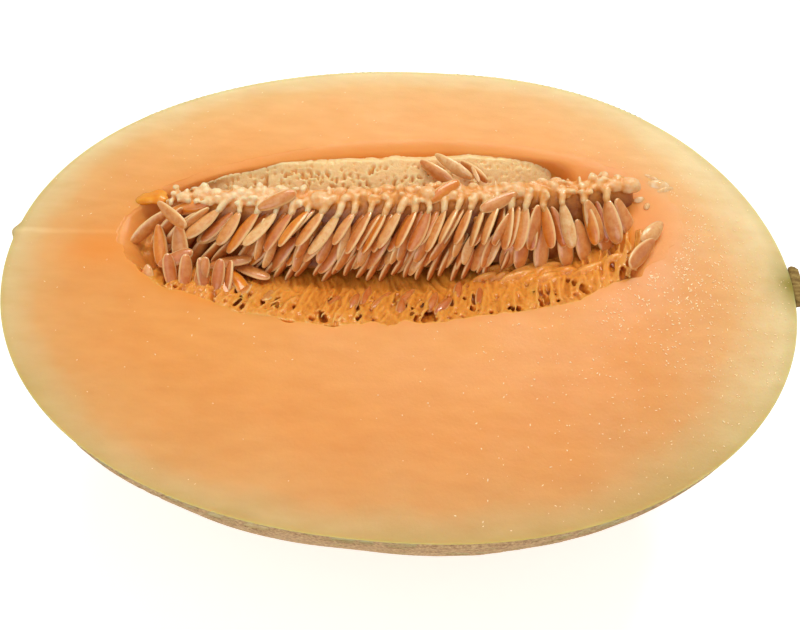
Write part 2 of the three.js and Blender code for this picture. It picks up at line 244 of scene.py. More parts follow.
def fused(shapes, voxel, rounding):
    """Overlapping shapes grown together into one skin, as pulp grows round what it holds. voxel is
    the skin's spacing in mm, and rounding is how often it is smoothed."""
    points, faces = joined(shapes)
    raw = bpy.data.meshes.new("raw")
    raw.from_pydata((points / 1000).tolist(), [], faces)
    holder = bpy.data.objects.new("raw", raw)
    bpy.context.scene.collection.objects.link(holder)
    remesh = holder.modifiers.new("grown", "REMESH")
    remesh.mode = "VOXEL"
    remesh.voxel_size = voxel / 1000
    soften = holder.modifiers.new("rounded", "SMOOTH")
    soften.factor = 0.5
    soften.iterations = rounding
    grown = holder.evaluated_get(bpy.context.evaluated_depsgraph_get()).to_mesh()
    co = np.empty(len(grown.vertices) * 3)
    grown.vertices.foreach_get("co", co)
    skin = [list(face.vertices) for face in grown.polygons]
    bpy.data.objects.remove(holder)
    bpy.data.meshes.remove(raw)
    return co.reshape(-1, 3) * 1000, skin


def bulge(shape, spacing):
    """How round each point of a skin stands out, in 1/mm: a knob is above 0 and a pit below."""
    points, faces = shape
    quads = np.array([face if len(face) == 4 else [*face, face[-1]] for face in faces])
    starts = np.concatenate([quads[:, 0], quads[:, 1], quads[:, 2], quads[:, 3]])
    ends = np.concatenate([quads[:, 1], quads[:, 2], quads[:, 3], quads[:, 0]])
    count = np.maximum(np.bincount(starts, minlength=len(points)), 1)

    def around(values):
        return np.bincount(starts, values[ends], len(points)) / count

    across = np.cross(
        points[quads[:, 2]] - points[quads[:, 0]], points[quads[:, 3]] - points[quads[:, 1]]
    )
    normal = np.zeros_like(points)
    for corner in range(4):
        for axis in range(3):
            normal[:, axis] += np.bincount(quads[:, corner], across[:, axis], len(points))
    normal /= np.linalg.norm(normal, axis=1)[:, None] + 1e-12
    mean = np.stack([around(points[:, axis]) for axis in range(3)], -1)
    out = ((points - mean) * normal).sum(1) * 2 / spacing**2
    for _ in range(3):
        out = (out + around(out)) / 2  # softened over its neighbours
    return np.clip(out, -2, 2)


def on_melon(made, *nodes, finish):
    """The piece rides on the melon and stands for these parts of the frame. Its finish is not used.
    """
    if nodes:
        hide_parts(*nodes)
    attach(made, "root")


# ---- Colour and material tools -------------------------------------------------------------------


def colour(code):
    """An sRGB hex colour as the linear values that materials take."""
    parts = [int(code[i : i + 2], 16) / 255 for i in (1, 3, 5)]
    return [p / 12.92 if p <= 0.04045 else ((p + 0.055) / 1.055) ** 2.4 for p in parts] + [1.0]


def add_node(tree, kind, inputs=(), stops=(), **settings):
    """Adds a node with its settings, its colour stops, and its inputs as values or as links. The
    first two stops are the ramp's own two, and the others go in by their positions."""
    made = tree.nodes.new(kind)
    for key, value in settings.items():
        setattr(made, key, value)
    for index, (position, code) in enumerate(stops):
        elements = made.color_ramp.elements
        stop = elements[index] if index < 2 else elements.new(position)
        stop.position, stop.color = position, colour(code)
    for socket, value in dict(inputs).items():
        if isinstance(value, bpy.types.NodeSocket):
            tree.links.new(value, made.inputs[socket])
        elif isinstance(value, str):
            made.inputs[socket].default_value = colour(value)
        else:
            made.inputs[socket].default_value = value
    return made


def new_material(name):
    """An empty material, its node tree and its place coordinates in mm."""
    material = bpy.data.materials.new(name)
    material.use_nodes = True
    tree = material.node_tree
    tree.nodes.clear()
    place = add_node(tree, "ShaderNodeTexCoord").outputs["Object"]
    in_mm = add_node(
        tree, "ShaderNodeVectorMath", {0: place, 1: (1000, 1000, 1000)}, operation="MULTIPLY"
    ).outputs[0]
    return material, tree, in_mm


def finish_with(tree, **inputs):
    """Closes a material with its one shader. A scatter's radii are in mm, so its scale is MM."""
    sockets = {key.replace("_", " "): value for key, value in inputs.items()}
    shader = add_node(tree, "ShaderNodeBsdfPrincipled", sockets)
    add_node(tree, "ShaderNodeOutputMaterial", {"Surface": shader.outputs[0]})


# ---- Materials -----------------------------------------------------------------------------------


def ripe_flesh():
    """Ripe melon flesh, cut with a knife: soft, wet cells that let light in, so the colour glows
    from inside. It goes from a green line under the rind through pale yellow to orange, which is
    weaker at the ends and on the far side, where the paler colour is partly painted light."""
    material, tree, mm = new_material("ripe_flesh_knife_cut")
    depth = add_node(tree, "ShaderNodeAttribute", attribute_name="ripeness").outputs["Fac"]
    heart_and_bowl_shade = add_node(tree, "ShaderNodeAttribute", attribute_name="heart_and_bowl_shade").outputs["Fac"]
    # Patches of riper flesh are 18 mm apart. The veins are 3 mm apart and run along the fruit.
    patches = add_node(
        tree, "ShaderNodeTexNoise", {"Vector": mm, "Scale": 0.055, "Detail": 3.0, "Roughness": 0.55}
    ).outputs["Fac"]
    lengthwise = add_node(
        tree, "ShaderNodeMapping", {"Vector": mm, "Scale": (0.35, 1, 1)}
    ).outputs[0]
    veins = add_node(
        tree, "ShaderNodeTexNoise", {"Vector": lengthwise, "Scale": 0.3, "Detail": 4.0}
    ).outputs["Fac"]
    pale = add_node(tree, "ShaderNodeAttribute", attribute_name="paleness_and_far_light").outputs["Fac"]
    # The border between the pale band and the orange wanders by about 2 mm.
    wander = add_node(
        tree,
        "ShaderNodeMapRange",
        {"Value": patches, "From Min": 0.3, "From Max": 0.7, "To Min": 0.8, "To Max": 1.2},
    ).outputs[0]
    shifted = add_node(tree, "ShaderNodeMath", {0: depth, 1: wander}, operation="MULTIPLY").outputs[0]
    strong = add_node(
        tree,
        "ShaderNodeValToRGB",
        {"Fac": shifted},
        stops=[
            (0.0, "#b3a158"),
            (1.0, "#efa553"),
            (0.016, "#cbae6c"),
            (0.05, "#d6b274"),
            (0.09, "#ddb072"),
            (0.15, "#e4a763"),
            (0.27, "#e8a35a"),
            (0.5, "#eca154"),
        ],
    ).outputs["Color"]
    # The paler colours: at the ends the flesh's own, on the far side partly painted light from
    # behind.
    weak = add_node(
        tree,
        "ShaderNodeValToRGB",
        {"Fac": shifted},
        stops=[
            (0.0, "#d8cb90"),
            (1.0, "#f6af62"),
            (0.03, "#f0dca8"),
            (0.08, "#f1d29a"),
            (0.15, "#f3c484"),
            (0.27, "#f6bd7a"),
            (0.5, "#f7b56d"),
        ],
    ).outputs["Color"]
    band = add_node(
        tree, "ShaderNodeMix", {"Factor": pale, 6: strong, 7: weak}, data_type="RGBA"
    ).outputs[2]
    blotch = add_node(
        tree,
        "ShaderNodeValToRGB",
        {"Fac": veins},
        stops=[(0.25, "#f6efe4"), (0.75, "#ffffff")],
    ).outputs["Color"]
    mottled = add_node(
        tree,
        "ShaderNodeMix",
        {"Factor": 1.0, 6: band, 7: blotch},
        data_type="RGBA",
        blend_type="MULTIPLY",
    ).outputs[2]
    # Deep orange round the hollow, and in the bowls partly painted shade.
    deep = add_node(
        tree, "ShaderNodeMix", {"Factor": heart_and_bowl_shade, 6: mottled, 7: "#f0943a"}, data_type="RGBA"
    ).outputs[2]
    stain = add_node(tree, "ShaderNodeAttribute", attribute_name="stain").outputs["Fac"]
    stained = add_node(
        tree, "ShaderNodeMix", {"Factor": stain, 6: deep, 7: "#8e7f12"}, data_type="RGBA"
    ).outputs[2]
    # The flesh's cells are finer than this. They are drawn 0.9 mm wide, so that they show.
    grain = add_node(
        tree, "ShaderNodeTexNoise", {"Vector": mm, "Scale": 1.5, "Detail": 4.0, "Roughness": 0.7}
    ).outputs["Fac"]
    cells = add_node(
        tree, "ShaderNodeTexVoronoi", {"Vector": mm, "Scale": 1.1}, feature="SMOOTH_F1"
    ).outputs["Distance"]
    skin = add_node(
        tree, "ShaderNodeMath", {0: cells, 1: 0.5, 2: grain}, operation="MULTIPLY_ADD"
    ).outputs[0]
    bump = add_node(
        tree, "ShaderNodeBump", {"Height": skin, "Strength": 0.35, "Distance": 0.12 * MM}
    ).outputs[0]
    wet = add_node(
        tree,
        "ShaderNodeMapRange",
        {"Value": patches, "From Min": 0.3, "From Max": 0.7, "To Min": 0.3, "To Max": 0.46},
    ).outputs[0]
    finish_with(
        tree,
        Base_Color=stained,
        Roughness=wet,
        IOR=1.37,
        Subsurface_Weight=0.45,
        Subsurface_Radius=(4.0, 1.8, 0.6),
        Subsurface_Scale=MM,
        Specular_IOR_Level=0.4,
        Coat_Weight=0.06,
        Coat_Roughness=0.2,
        Normal=bump,
    )
    return material


def netted_rind():
    """Melon rind, grown: a waxy yellow-tan skin that has split and healed into a raised net of
    dry cork. The skin has a dull shine and the cork has none."""
    material, tree, mm = new_material("netted_rind_cork_and_wax")
    net = add_node(tree, "ShaderNodeAttribute", attribute_name="net").outputs["Fac"]
    # The cork crumbles into grains of 0.8 mm. The wax's patches are 17 mm apart, and longer along
    # the fruit.
    crumbs = add_node(
        tree, "ShaderNodeTexNoise", {"Vector": mm, "Scale": 1.3, "Detail": 5.0, "Roughness": 0.65}
    ).outputs["Fac"]
    lengthwise = add_node(
        tree, "ShaderNodeMapping", {"Vector": mm, "Scale": (0.4, 1, 1)}
    ).outputs[0]
    patches = add_node(
        tree, "ShaderNodeTexNoise", {"Vector": lengthwise, "Scale": 0.06, "Detail": 4.0}
    ).outputs["Fac"]
    # Net lines about 1.2 mm wide, with ragged borders.
    ragged = add_node(
        tree, "ShaderNodeMath", {0: crumbs, 1: 0.9, 2: net}, operation="MULTIPLY_ADD"
    ).outputs[0]
    cork = add_node(
        tree,
        "ShaderNodeMapRange",
        {"Value": ragged, "From Min": 1.35, "From Max": 0.85, "To Min": 0.0, "To Max": 1.0},
    ).outputs[0]
    wax = add_node(
        tree,
        "ShaderNodeValToRGB",
        {"Fac": patches},
        stops=[(0.3, "#8c8a4a"), (0.72, "#cdb06a"), (0.45, "#ab9a55"), (0.58, "#bd9f5a")],
    ).outputs["Color"]
    bark = add_node(
        tree,
        "ShaderNodeValToRGB",
        {"Fac": crumbs},
        stops=[(0.3, "#84603a"), (0.7, "#d9bb88"), (0.5, "#b99265")],
    ).outputs["Color"]
    surface = add_node(
        tree, "ShaderNodeMix", {"Factor": cork, 6: wax, 7: bark}, data_type="RGBA"
    ).outputs[2]
    # Pores 0.25 mm apart roughen the cork and the wax.
    fine = add_node(
        tree, "ShaderNodeTexNoise", {"Vector": mm, "Scale": 4.0, "Detail": 3.0}
    ).outputs["Fac"]
    raised = add_node(
        tree, "ShaderNodeMath", {0: fine, 1: 0.35, 2: cork}, operation="MULTIPLY_ADD"
    ).outputs[0]
    bump = add_node(
        tree, "ShaderNodeBump", {"Height": raised, "Strength": 0.8, "Distance": 0.4 * MM}
    ).outputs[0]
    dullness = add_node(
        tree,
        "ShaderNodeMapRange",
        {"Value": cork, "From Min": 0.0, "From Max": 1.0, "To Min": 0.42, "To Max": 0.85},
    ).outputs[0]
    finish_with(
        tree,
        Base_Color=surface,
        Roughness=dullness,
        IOR=1.45,
        Subsurface_Weight=0.08,
        Subsurface_Radius=(1.5, 0.9, 0.3),
        Subsurface_Scale=MM,
        Normal=bump,
    )
    return material


def dry_cork():
    """Cork of the stem scar, dried: dull, brown, and cracked along the stem every 1.1 mm."""
    material, tree, mm = new_material("stem_scar_dry_cork")
    lengthwise = add_node(
        tree, "ShaderNodeMapping", {"Vector": mm, "Scale": (0.5, 1, 1)}
    ).outputs[0]
    streaks = add_node(
        tree,
        "ShaderNodeTexNoise",
        {"Vector": lengthwise, "Scale": 0.9, "Detail": 5.0, "Roughness": 0.7},
    ).outputs["Fac"]
    shade = add_node(
        tree,
        "ShaderNodeValToRGB",
        {"Fac": streaks},
        stops=[(0.3, "#6b4f29"), (0.72, "#bca262"), (0.5, "#937840")],
    ).outputs["Color"]
    bump = add_node(
        tree, "ShaderNodeBump", {"Height": streaks, "Strength": 0.9, "Distance": 0.5 * MM}
    ).outputs[0]
    finish_with(tree, Base_Color=shade, Roughness=0.86, Specular_IOR_Level=0.3, Normal=bump)
    return material


def placenta_tissue(name, low, middle, high, pores, glow=0.4):
    """The pale tissue that seeds grow from: moist, spongy and slightly see-through, so its knobs
    glow at their edges. pores is how far apart its little pits are, in mm."""
    material, tree, mm = new_material(name)
    tone = add_node(tree, "ShaderNodeAttribute", attribute_name="tone").outputs["Fac"]
    sponge = add_node(
        tree,
        "ShaderNodeTexNoise",
        {"Vector": mm, "Scale": 1 / pores, "Detail": 5.0, "Roughness": 0.62},
    ).outputs["Fac"]
    mixed = add_node(
        tree, "ShaderNodeMath", {0: sponge, 1: 0.5, 2: tone}, operation="MULTIPLY_ADD"
    ).outputs[0]
    shifted = add_node(tree, "ShaderNodeMath", {0: mixed, 1: 0.25}, operation="SUBTRACT").outputs[0]
    shade = add_node(
        tree,
        "ShaderNodeValToRGB",
        {"Fac": shifted},
        stops=[(0.0, low), (1.0, high), (0.5, middle)],
    ).outputs["Color"]
    fine = add_node(
        tree, "ShaderNodeTexNoise", {"Vector": mm, "Scale": 3.2 / pores, "Detail": 3.0}
    ).outputs["Fac"]
    height = add_node(
        tree, "ShaderNodeMath", {0: fine, 1: 0.5, 2: sponge}, operation="MULTIPLY_ADD"
    ).outputs[0]
    bump = add_node(
        tree, "ShaderNodeBump", {"Height": height, "Strength": 0.6, "Distance": 0.4 * MM}
    ).outputs[0]
    finish_with(
        tree,
        Base_Color=shade,
        Roughness=0.36,
        IOR=1.38,
        Subsurface_Weight=glow,
        Subsurface_Radius=(3.0, 1.6, 0.7),
        Subsurface_Scale=MM,
        Coat_Weight=0.4,
        Coat_Roughness=0.16,
        Normal=bump,
    )
    return material


def fibrous_pulp():
    """The fibrous pulp round the seeds: wet orange strands with gel between them. The strands are
    lighter and the slits between them are brown, a brown that is partly painted shade. Its fibres
    are 0.7 mm apart and long one way."""
    material, tree, mm = new_material("fibrous_pulp_wet_strands")
    tone = add_node(tree, "ShaderNodeAttribute", attribute_name="tone").outputs["Fac"]
    crosswise = add_node(
        tree,
        "ShaderNodeMapping",
        {"Vector": mm, "Scale": (1.6, 0.35, 0.5), "Rotation": (0, 0, radians(14))},
    ).outputs[0]
    fibres = add_node(
        tree,
        "ShaderNodeTexNoise",
        {"Vector": crosswise, "Scale": 0.9, "Detail": 4.0, "Roughness": 0.6},
    ).outputs["Fac"]
    mixed = add_node(
        tree, "ShaderNodeMath", {0: fibres, 1: 0.55, 2: tone}, operation="MULTIPLY_ADD"
    ).outputs[0]
    shifted = add_node(tree, "ShaderNodeMath", {0: mixed, 1: 0.27}, operation="SUBTRACT").outputs[0]
    shade = add_node(
        tree,
        "ShaderNodeValToRGB",
        {"Fac": shifted},
        stops=[
            (0.0, "#94430f"),
            (1.0, "#fbcf88"),
            (0.28, "#cf7a24"),
            (0.55, "#ed9c3e"),
            (0.78, "#f2aa55"),
        ],
    ).outputs["Color"]
    bump = add_node(
        tree, "ShaderNodeBump", {"Height": fibres, "Strength": 0.55, "Distance": 0.4 * MM}
    ).outputs[0]
    finish_with(
        tree,
        Base_Color=shade,
        Roughness=0.3,
        IOR=1.37,
        Subsurface_Weight=0.4,
        Subsurface_Radius=(3.0, 1.2, 0.3),
        Subsurface_Scale=MM,
        Coat_Weight=0.45,
        Coat_Roughness=0.1,
        Normal=bump,
    )
    return material


def seed_gel():
    """The gel round the seeds: clear, orange and wet, so it shines sharply and lets light in. Its
    swirls are 3 mm apart and its ripples 1.2 mm."""
    material, tree, mm = new_material("seed_gel_clear_wet")
    swirls = add_node(
        tree, "ShaderNodeTexNoise", {"Vector": mm, "Scale": 0.35, "Detail": 3.0}
    ).outputs["Fac"]
    shade = add_node(
        tree,
        "ShaderNodeValToRGB",
        {"Fac": swirls},
        stops=[(0.3, "#ee8a12"), (0.7, "#fbae3c"), (0.5, "#f59a22")],
    ).outputs["Color"]
    ripples = add_node(
        tree, "ShaderNodeTexNoise", {"Vector": mm, "Scale": 0.8, "Detail": 2.0}
    ).outputs["Fac"]
    bump = add_node(
        tree, "ShaderNodeBump", {"Height": ripples, "Strength": 0.35, "Distance": 0.5 * MM}
    ).outputs[0]
    finish_with(
        tree,
        Base_Color=shade,
        Roughness=0.22,
        IOR=1.36,
        Subsurface_Weight=0.35,
        Subsurface_Radius=(3.0, 1.2, 0.3),
        Subsurface_Scale=MM,
        Coat_Weight=0.6,
        Coat_Roughness=0.06,
        Normal=bump,
    )
    return material


def seed_coat():
    """The seed's hull, wet: smooth tan cellulose, lighter along its thin margin, mottled every
    1.4 mm, with a film of gel that gives it a sharp shine. The lighter margin is partly its own
    pale edge and partly a painted highlight."""
    material, tree, mm = new_material("seed_hull_wet")
    margin = add_node(tree, "ShaderNodeAttribute", attribute_name="margin").outputs["Fac"]
    tint = add_node(tree, "ShaderNodeAttribute", attribute_name="tint").outputs["Fac"]
    shade = add_node(
        tree,
        "ShaderNodeValToRGB",
        {"Fac": tint},
        stops=[
            (0.0, "#f29a26"),
            (1.0, "#f8d498"),
            (0.15, "#cc7534"),
            (0.4, "#de9049"),
            (0.7, "#e9a860"),
        ],
    ).outputs["Color"]
    mottle = add_node(
        tree, "ShaderNodeTexNoise", {"Vector": mm, "Scale": 0.7, "Detail": 4.0, "Roughness": 0.6}
    ).outputs["Fac"]
    cast = add_node(
        tree,
        "ShaderNodeValToRGB",
        {"Fac": mottle},
        stops=[(0.3, "#efcb9c"), (0.62, "#ffffff")],
    ).outputs["Color"]
    mottled = add_node(
        tree,
        "ShaderNodeMix",
        {"Factor": 1.0, 6: shade, 7: cast},
        data_type="RGBA",
        blend_type="MULTIPLY",
    ).outputs[2]
    # The pale margin colour: partly the seed's own edge, partly a painted highlight.
    rim = add_node(
        tree,
        "ShaderNodeMapRange",
        {"Value": margin, "From Min": 0.7, "From Max": 0.95, "To Min": 0.0, "To Max": 0.9},
    ).outputs[0]
    margin_pale_and_highlit = add_node(
        tree, "ShaderNodeMix", {"Factor": rim, 6: mottled, 7: "#fdd596"}, data_type="RGBA"
    ).outputs[2]
    bump = add_node(
        tree, "ShaderNodeBump", {"Height": mottle, "Strength": 0.3, "Distance": 0.2 * MM}
    ).outputs[0]
    finish_with(
        tree,
        Base_Color=margin_pale_and_highlit,
        Roughness=0.34,
        IOR=1.45,
        Subsurface_Weight=0.25,
        Subsurface_Radius=(1.6, 0.9, 0.4),
        Subsurface_Scale=MM,
        Coat_Weight=1.0,
        Coat_Roughness=0.06,
        Normal=bump,
    )
    return material


def seed_membrane():
    """The thin skin that a seed grows in, torn and wet: pale yellow from the pulp under it, and
    very shiny. Its folds are 1.7 mm apart."""
    material, tree, mm = new_material("seed_membrane_thin")
    crosswise = add_node(
        tree, "ShaderNodeMapping", {"Vector": mm, "Scale": (1, 0.4, 1)}
    ).outputs[0]
    folds = add_node(
        tree, "ShaderNodeTexNoise", {"Vector": crosswise, "Scale": 0.6, "Detail": 3.0}
    ).outputs["Fac"]
    shade = add_node(
        tree,
        "ShaderNodeValToRGB",
        {"Fac": folds},
        stops=[(0.3, "#f4b868"), (0.7, "#ffe6bc")],
    ).outputs["Color"]
    bump = add_node(
        tree, "ShaderNodeBump", {"Height": folds, "Strength": 0.6, "Distance": 0.4 * MM}
    ).outputs[0]
    finish_with(
        tree,
        Base_Color=shade,
        Roughness=0.24,
        IOR=1.37,
        Coat_Weight=1.0,
        Coat_Roughness=0.06,
        Normal=bump,
    )
    return material


def melon_juice_glint():
    """Juice that stands in tiny beads on the cut, a little cloudy and warm. Their near-white colour
    and faint glow are a painted glint, the wet cut catching the light."""
    material, tree, mm = new_material("juice_glint_beads")
    cloudiness = add_node(
        tree, "ShaderNodeTexNoise", {"Vector": mm, "Scale": 0.5, "Detail": 2.0}
    ).outputs["Fac"]
    shade = add_node(
        tree,
        "ShaderNodeValToRGB",
        {"Fac": cloudiness},
        stops=[(0.3, "#ffe6b0"), (0.7, "#fff3cf")],
    ).outputs["Color"]
    finish_with(
        tree,
        Base_Color=shade,
        Roughness=0.2,
        IOR=1.34,
        Coat_Weight=0.3,
        Coat_Roughness=0.05,
        # The glow is a painted glint.
        Emission_Color=colour("#ffd49a"),
        Emission_Strength=0.16,
    )
    return material


def matt_card():
    """The table that the melon lies on: matt white card, with a faint tooth every 4 mm. It glows a
    little, as card does in a room that is light all round."""
    material, tree, mm = new_material("matt_white_card")
    tooth = add_node(
        tree, "ShaderNodeTexNoise", {"Vector": mm, "Scale": 0.25, "Detail": 3.0}
    ).outputs["Fac"]
    shade = add_node(
        tree,
        "ShaderNodeValToRGB",
        {"Fac": tooth},
        stops=[(0.0, "#f3f2f0"), (1.0, "#f8f7f5")],
    ).outputs["Color"]
    finish_with(
        tree,
        Base_Color=shade,
        Roughness=0.9,
        Specular_IOR_Level=0.15,
        Emission_Color=colour("#fffdfa"),
        Emission_Strength=0.54,
    )
    return material


FLESH = ripe_flesh()
RIND = netted_rind()
CORK = dry_cork()
# The low colours are brown for dips and low places, partly painted shade.
CREST = placenta_tissue("placenta_crest_creamy", "#a0541a", "#ec9f48", "#fee6b8", 1.6, 0.35)
SPONGE = placenta_tissue("placenta_back_spongy", "#d07a2c", "#f8bd70", "#ffe2a8", 1.1)
PULP = fibrous_pulp()
GEL = seed_gel()
SEED = seed_coat()
MEMBRANE = seed_membrane()
JUICE_GLINT = melon_juice_glint()

# ---- The cut half: rind, flesh and the hollow that held the seeds ---------------------------------

AROUND = 600  # points round the melon, in each row of its skin
RIND_ROWS = 140
FACE_ROWS = 44
HOLLOW_ROWS = 64
OF_RIND, OF_FACE, OF_HOLLOW = range(3)  # which part of the skin a row is in


def rim_point(turn):
    """The outline of the cut face."""
    c, s = np.cos(turn), np.sin(turn)
    power = np.where(c > 0, STEM_END_POWER, BLOSSOM_END_POWER)
    x = np.sign(c) * LENGTH / 2 * np.abs(c) ** (2 / power) + LEAN * s**3
    return np.stack([x, WIDTH / 2 * s + STEM_FULLNESS * s**3 * c], -1)


def cavity_edge(turn, inward=0.0):
    """The hollow's edge on the cut face, along and across it. It wanders by a millimetre or so."""
    ring = np.stack([np.cos(turn), np.sin(turn)], -1)
    wander = 1.5 * cloud(ring * 9, 2.2, 41, 3) + 0.9 * cloud(ring * 9, 0.5, 43, 2)
    wander = wander * (1.0 - 0.4 * np.sin(turn))
    along = (CAVITY_LENGTH / 2 + wander - inward) * np.cos(turn)
    across = (CAVITY_WIDTH / 2 + wander - inward) * np.sin(turn)
    return along, across


def wall_at(along):
    """How far across the hollow its edge is. At the hollow's two tips it stays just above 0."""
    share = np.clip(np.asarray(along, float) / (CAVITY_LENGTH / 2), -0.995, 0.995)
    return CAVITY_WIDTH / 2 * np.sqrt(1 - share**2)


def outwards(along, across):
    """How far out a place is: 0 in the hollow's middle, 1 at its edge, and more on the cut face."""
    return np.hypot(along / (CAVITY_LENGTH / 2), across / (CAVITY_WIDTH / 2))


def grown_in(along, across):
    """Where the flesh runs into the hollow as a shallow bowl: 0 in the open hollow, 1 at its stem
    end, its blossom tip and along the far wall. Also the level of that bowl."""
    along, across = np.broadcast_arrays(np.asarray(along, float), np.asarray(across, float))
    ring = np.clip(outwards(along, across), 0, 1)
    stem_side = ease(45, 62, along)
    blossom_side = ease(-62, -73, along)
    far_side = ease(0.66, 0.88, across / wall_at(along))
    behind_stem_side = ease(38, 50, along) * ease(7, 13, across)
    share = 1 - (1 - stem_side) * (1 - blossom_side) * (1 - far_side) * (1 - behind_stem_side)
    steep = 0.5 + 0.34 * ease(-50, -64, along)
    return share, -BOWL_DEPTH * ease(1.02, steep, ring)


def bed_height(along, across):
    """The smooth level that the pulp fills the hollow to. In front it rises to the cut face."""
    along, across = np.broadcast_arrays(np.asarray(along, float), np.asarray(across, float))
    ring = np.clip(outwards(along, across), 0, 1)
    front = ease(0.25, -0.6, across / (CAVITY_WIDTH / 2))
    edge = -9.0 + 8.4 * front
    level = -BED_DEPTH + (edge + BED_DEPTH) * ring ** (2.6 - front)
    share, bowl = grown_in(along, across)
    return level + (np.maximum(bowl, level) - level) * share


def half_skin():
    """The skin of the half from its bottom up, with the part that each point is in."""
    turn = 2 * pi * np.arange(AROUND) / AROUND
    rim = rim_point(turn)
    rows, parts = [], []
    # The rind, with the dried nub of the blossom at one tip.
    for dip in np.linspace(pi / 2 * 0.985, 0, RIND_ROWS):
        nub = BLOSSOM_NUB * np.exp(-(((turn - pi) / 0.03) ** 2) - (dip / 0.06) ** 2)
        spread = rim * cos(dip)
        depth = np.full(AROUND, -WIDTH / 2 * sin(dip))
        rows.append(np.column_stack([spread[:, 0] - nub, spread[:, 1], depth]))
        parts.append(OF_RIND)
    rows[-1][:, 2] = -BLUNT_EDGE
    # The cut face, from its slightly blunt rim inwards, in rows that stand closer near the rim.
    along, across = cavity_edge(turn)
    edge = in_cavity(along, across)
    outer = np.column_stack([rim * 0.9965, np.zeros(AROUND)])
    for share in [0, 0.004, 0.012, 0.025, 0.045, *np.linspace(0.07, 0.985, FACE_ROWS), 0.997, 1]:
        rows.append(outer + (edge - outer) * share)
        parts.append(OF_FACE)
    # The wall of the hollow, or the bowl where the flesh runs in. The first three rows are left
    # out, because they would fall on the edge.
    for share in np.sin(np.linspace(pi / 2, 0.06, HOLLOW_ROWS))[3:]:
        row = in_cavity(along * share, across * share)
        depth = -CAVITY_DEPTH * np.sqrt(np.clip(1 - share**2, 0, 1))
        grown, bowl = grown_in(along * share, across * share)
        depth += (np.maximum(bowl, depth) - depth) * grown
        row[:, 2] = depth
        rows.append(row)
        parts.append(OF_HOLLOW)
    points, faces = loft(rows)
    return points, faces, np.concatenate([[OF_RIND], np.repeat(parts, AROUND), [OF_HOLLOW]])


def under_the_rind(points):
    """How far, in mm, each point lies inside the outline of the cut face."""
    outline = rim_point(np.linspace(0, 2 * pi, 900))
    depth = np.empty(len(points))
    batch = 4000
    for start in range(0, len(points), batch):
        gaps = points[start : start + batch, None, :2] - outline[None]
        depth[start : start + batch] = np.sqrt((gaps**2).sum(-1)).min(1)
    return depth


def flesh_tones(points, part, depth, ring):
    """The shares, from 0 to 1, that the colours of the flesh follow at each point."""
    x, y = points[:, 0], points[:, 1]
    # The flesh is ripe 50 mm under the rind, and deeper towards both ends.
    band = 1 + 1.4 * ease(35, 100, x) + 0.4 * ease(45, 100, -x)
    ripeness = np.clip(depth / (50 * band), 0, 1)
    # The hollow is deep orange, and so is the cut for 1.4 mm round it. Where the flesh runs in as
    # a bowl, the colour deepens over the bowl's slope instead, partly the flesh's own orange and
    # partly painted shade in the bowl.
    from_hollow = np.maximum(ring - 1, 0) * CAVITY_WIDTH / 2
    heart_and_bowl_shade = np.where(part == OF_HOLLOW, 0.85, 0.8 * np.exp(-from_hollow / 1.4))
    in_bowl = ease(0.2, 0.9, grown_in(*cavity_place(points))[0])
    bowl_orange_and_shade = ease(1.1, 0.78, ring)
    heart_and_bowl_shade = heart_and_bowl_shade * (1 - in_bowl) + bowl_orange_and_shade * in_bowl
    # A deeper spot beside the blossom end of the hollow.
    spot = np.exp(-(((x + 77) / 8) ** 2) - ((y + 4) / 6) ** 2)
    heart_and_bowl_shade = np.clip(heart_and_bowl_shade + 0.7 * spot * (part == OF_FACE), 0, 1)
    # The flesh is paler at both ends, and on the far side, where the paleness is partly its own and
    # partly painted light from behind.
    paleness_and_far_light = 0.9 * ease(0, 55, y) + 0.85 * ease(60, 100, x)
    paleness_and_far_light += 0.35 * ease(75, 100, -x) + 0.2 * ease(-30, 50, -x)
    # A light line, 0.8 mm to each side, runs from the hollow to the blossom tip.
    line = 1.5 * (x + 100) / 28 + 0.5 * cloud(points, 6.0, 79, 2)
    paleness_and_far_light += 0.7 * np.exp(-(((y - line) / 0.8) ** 2)) * ease(-70, -74, x)
    # Green soaks 5 to 7 mm into the flesh round the stem.
    from_stem = np.hypot((x - 100.5) / 5.5, (y + 0.5) / 7.0)
    from_stem += 0.3 * cloud(points, 3.0, 80, 2)
    stain = 0.95 * np.exp(-(from_stem**2)) * (part == OF_FACE)
    return {
        "ripeness": ripeness,
        "heart_and_bowl_shade": heart_and_bowl_shade,
        "paleness_and_far_light": np.clip(paleness_and_far_light, 0, 1),
        "stain": stain,
    }


def rind_net(points):
    """How far, in mm, each point is from the middle of a line of the net. The meshes are 6.4 mm
    wide, with patches of 3.6 mm ones, and longer along the fruit."""
    bent = points * np.array([0.72, 1, 1]) + 2.2 * np.stack(
        [cloud(points, 9.0, 61 + axis, 2) for axis in range(3)], -1
    )
    coarse = crackle(bent, 6.4, 71)
    small = crackle(bent, 3.6, 73) + 0.35 + 0.8 * cloud(points, 18.0, 75, 2)
    return np.minimum(coarse, np.maximum(small, 0))


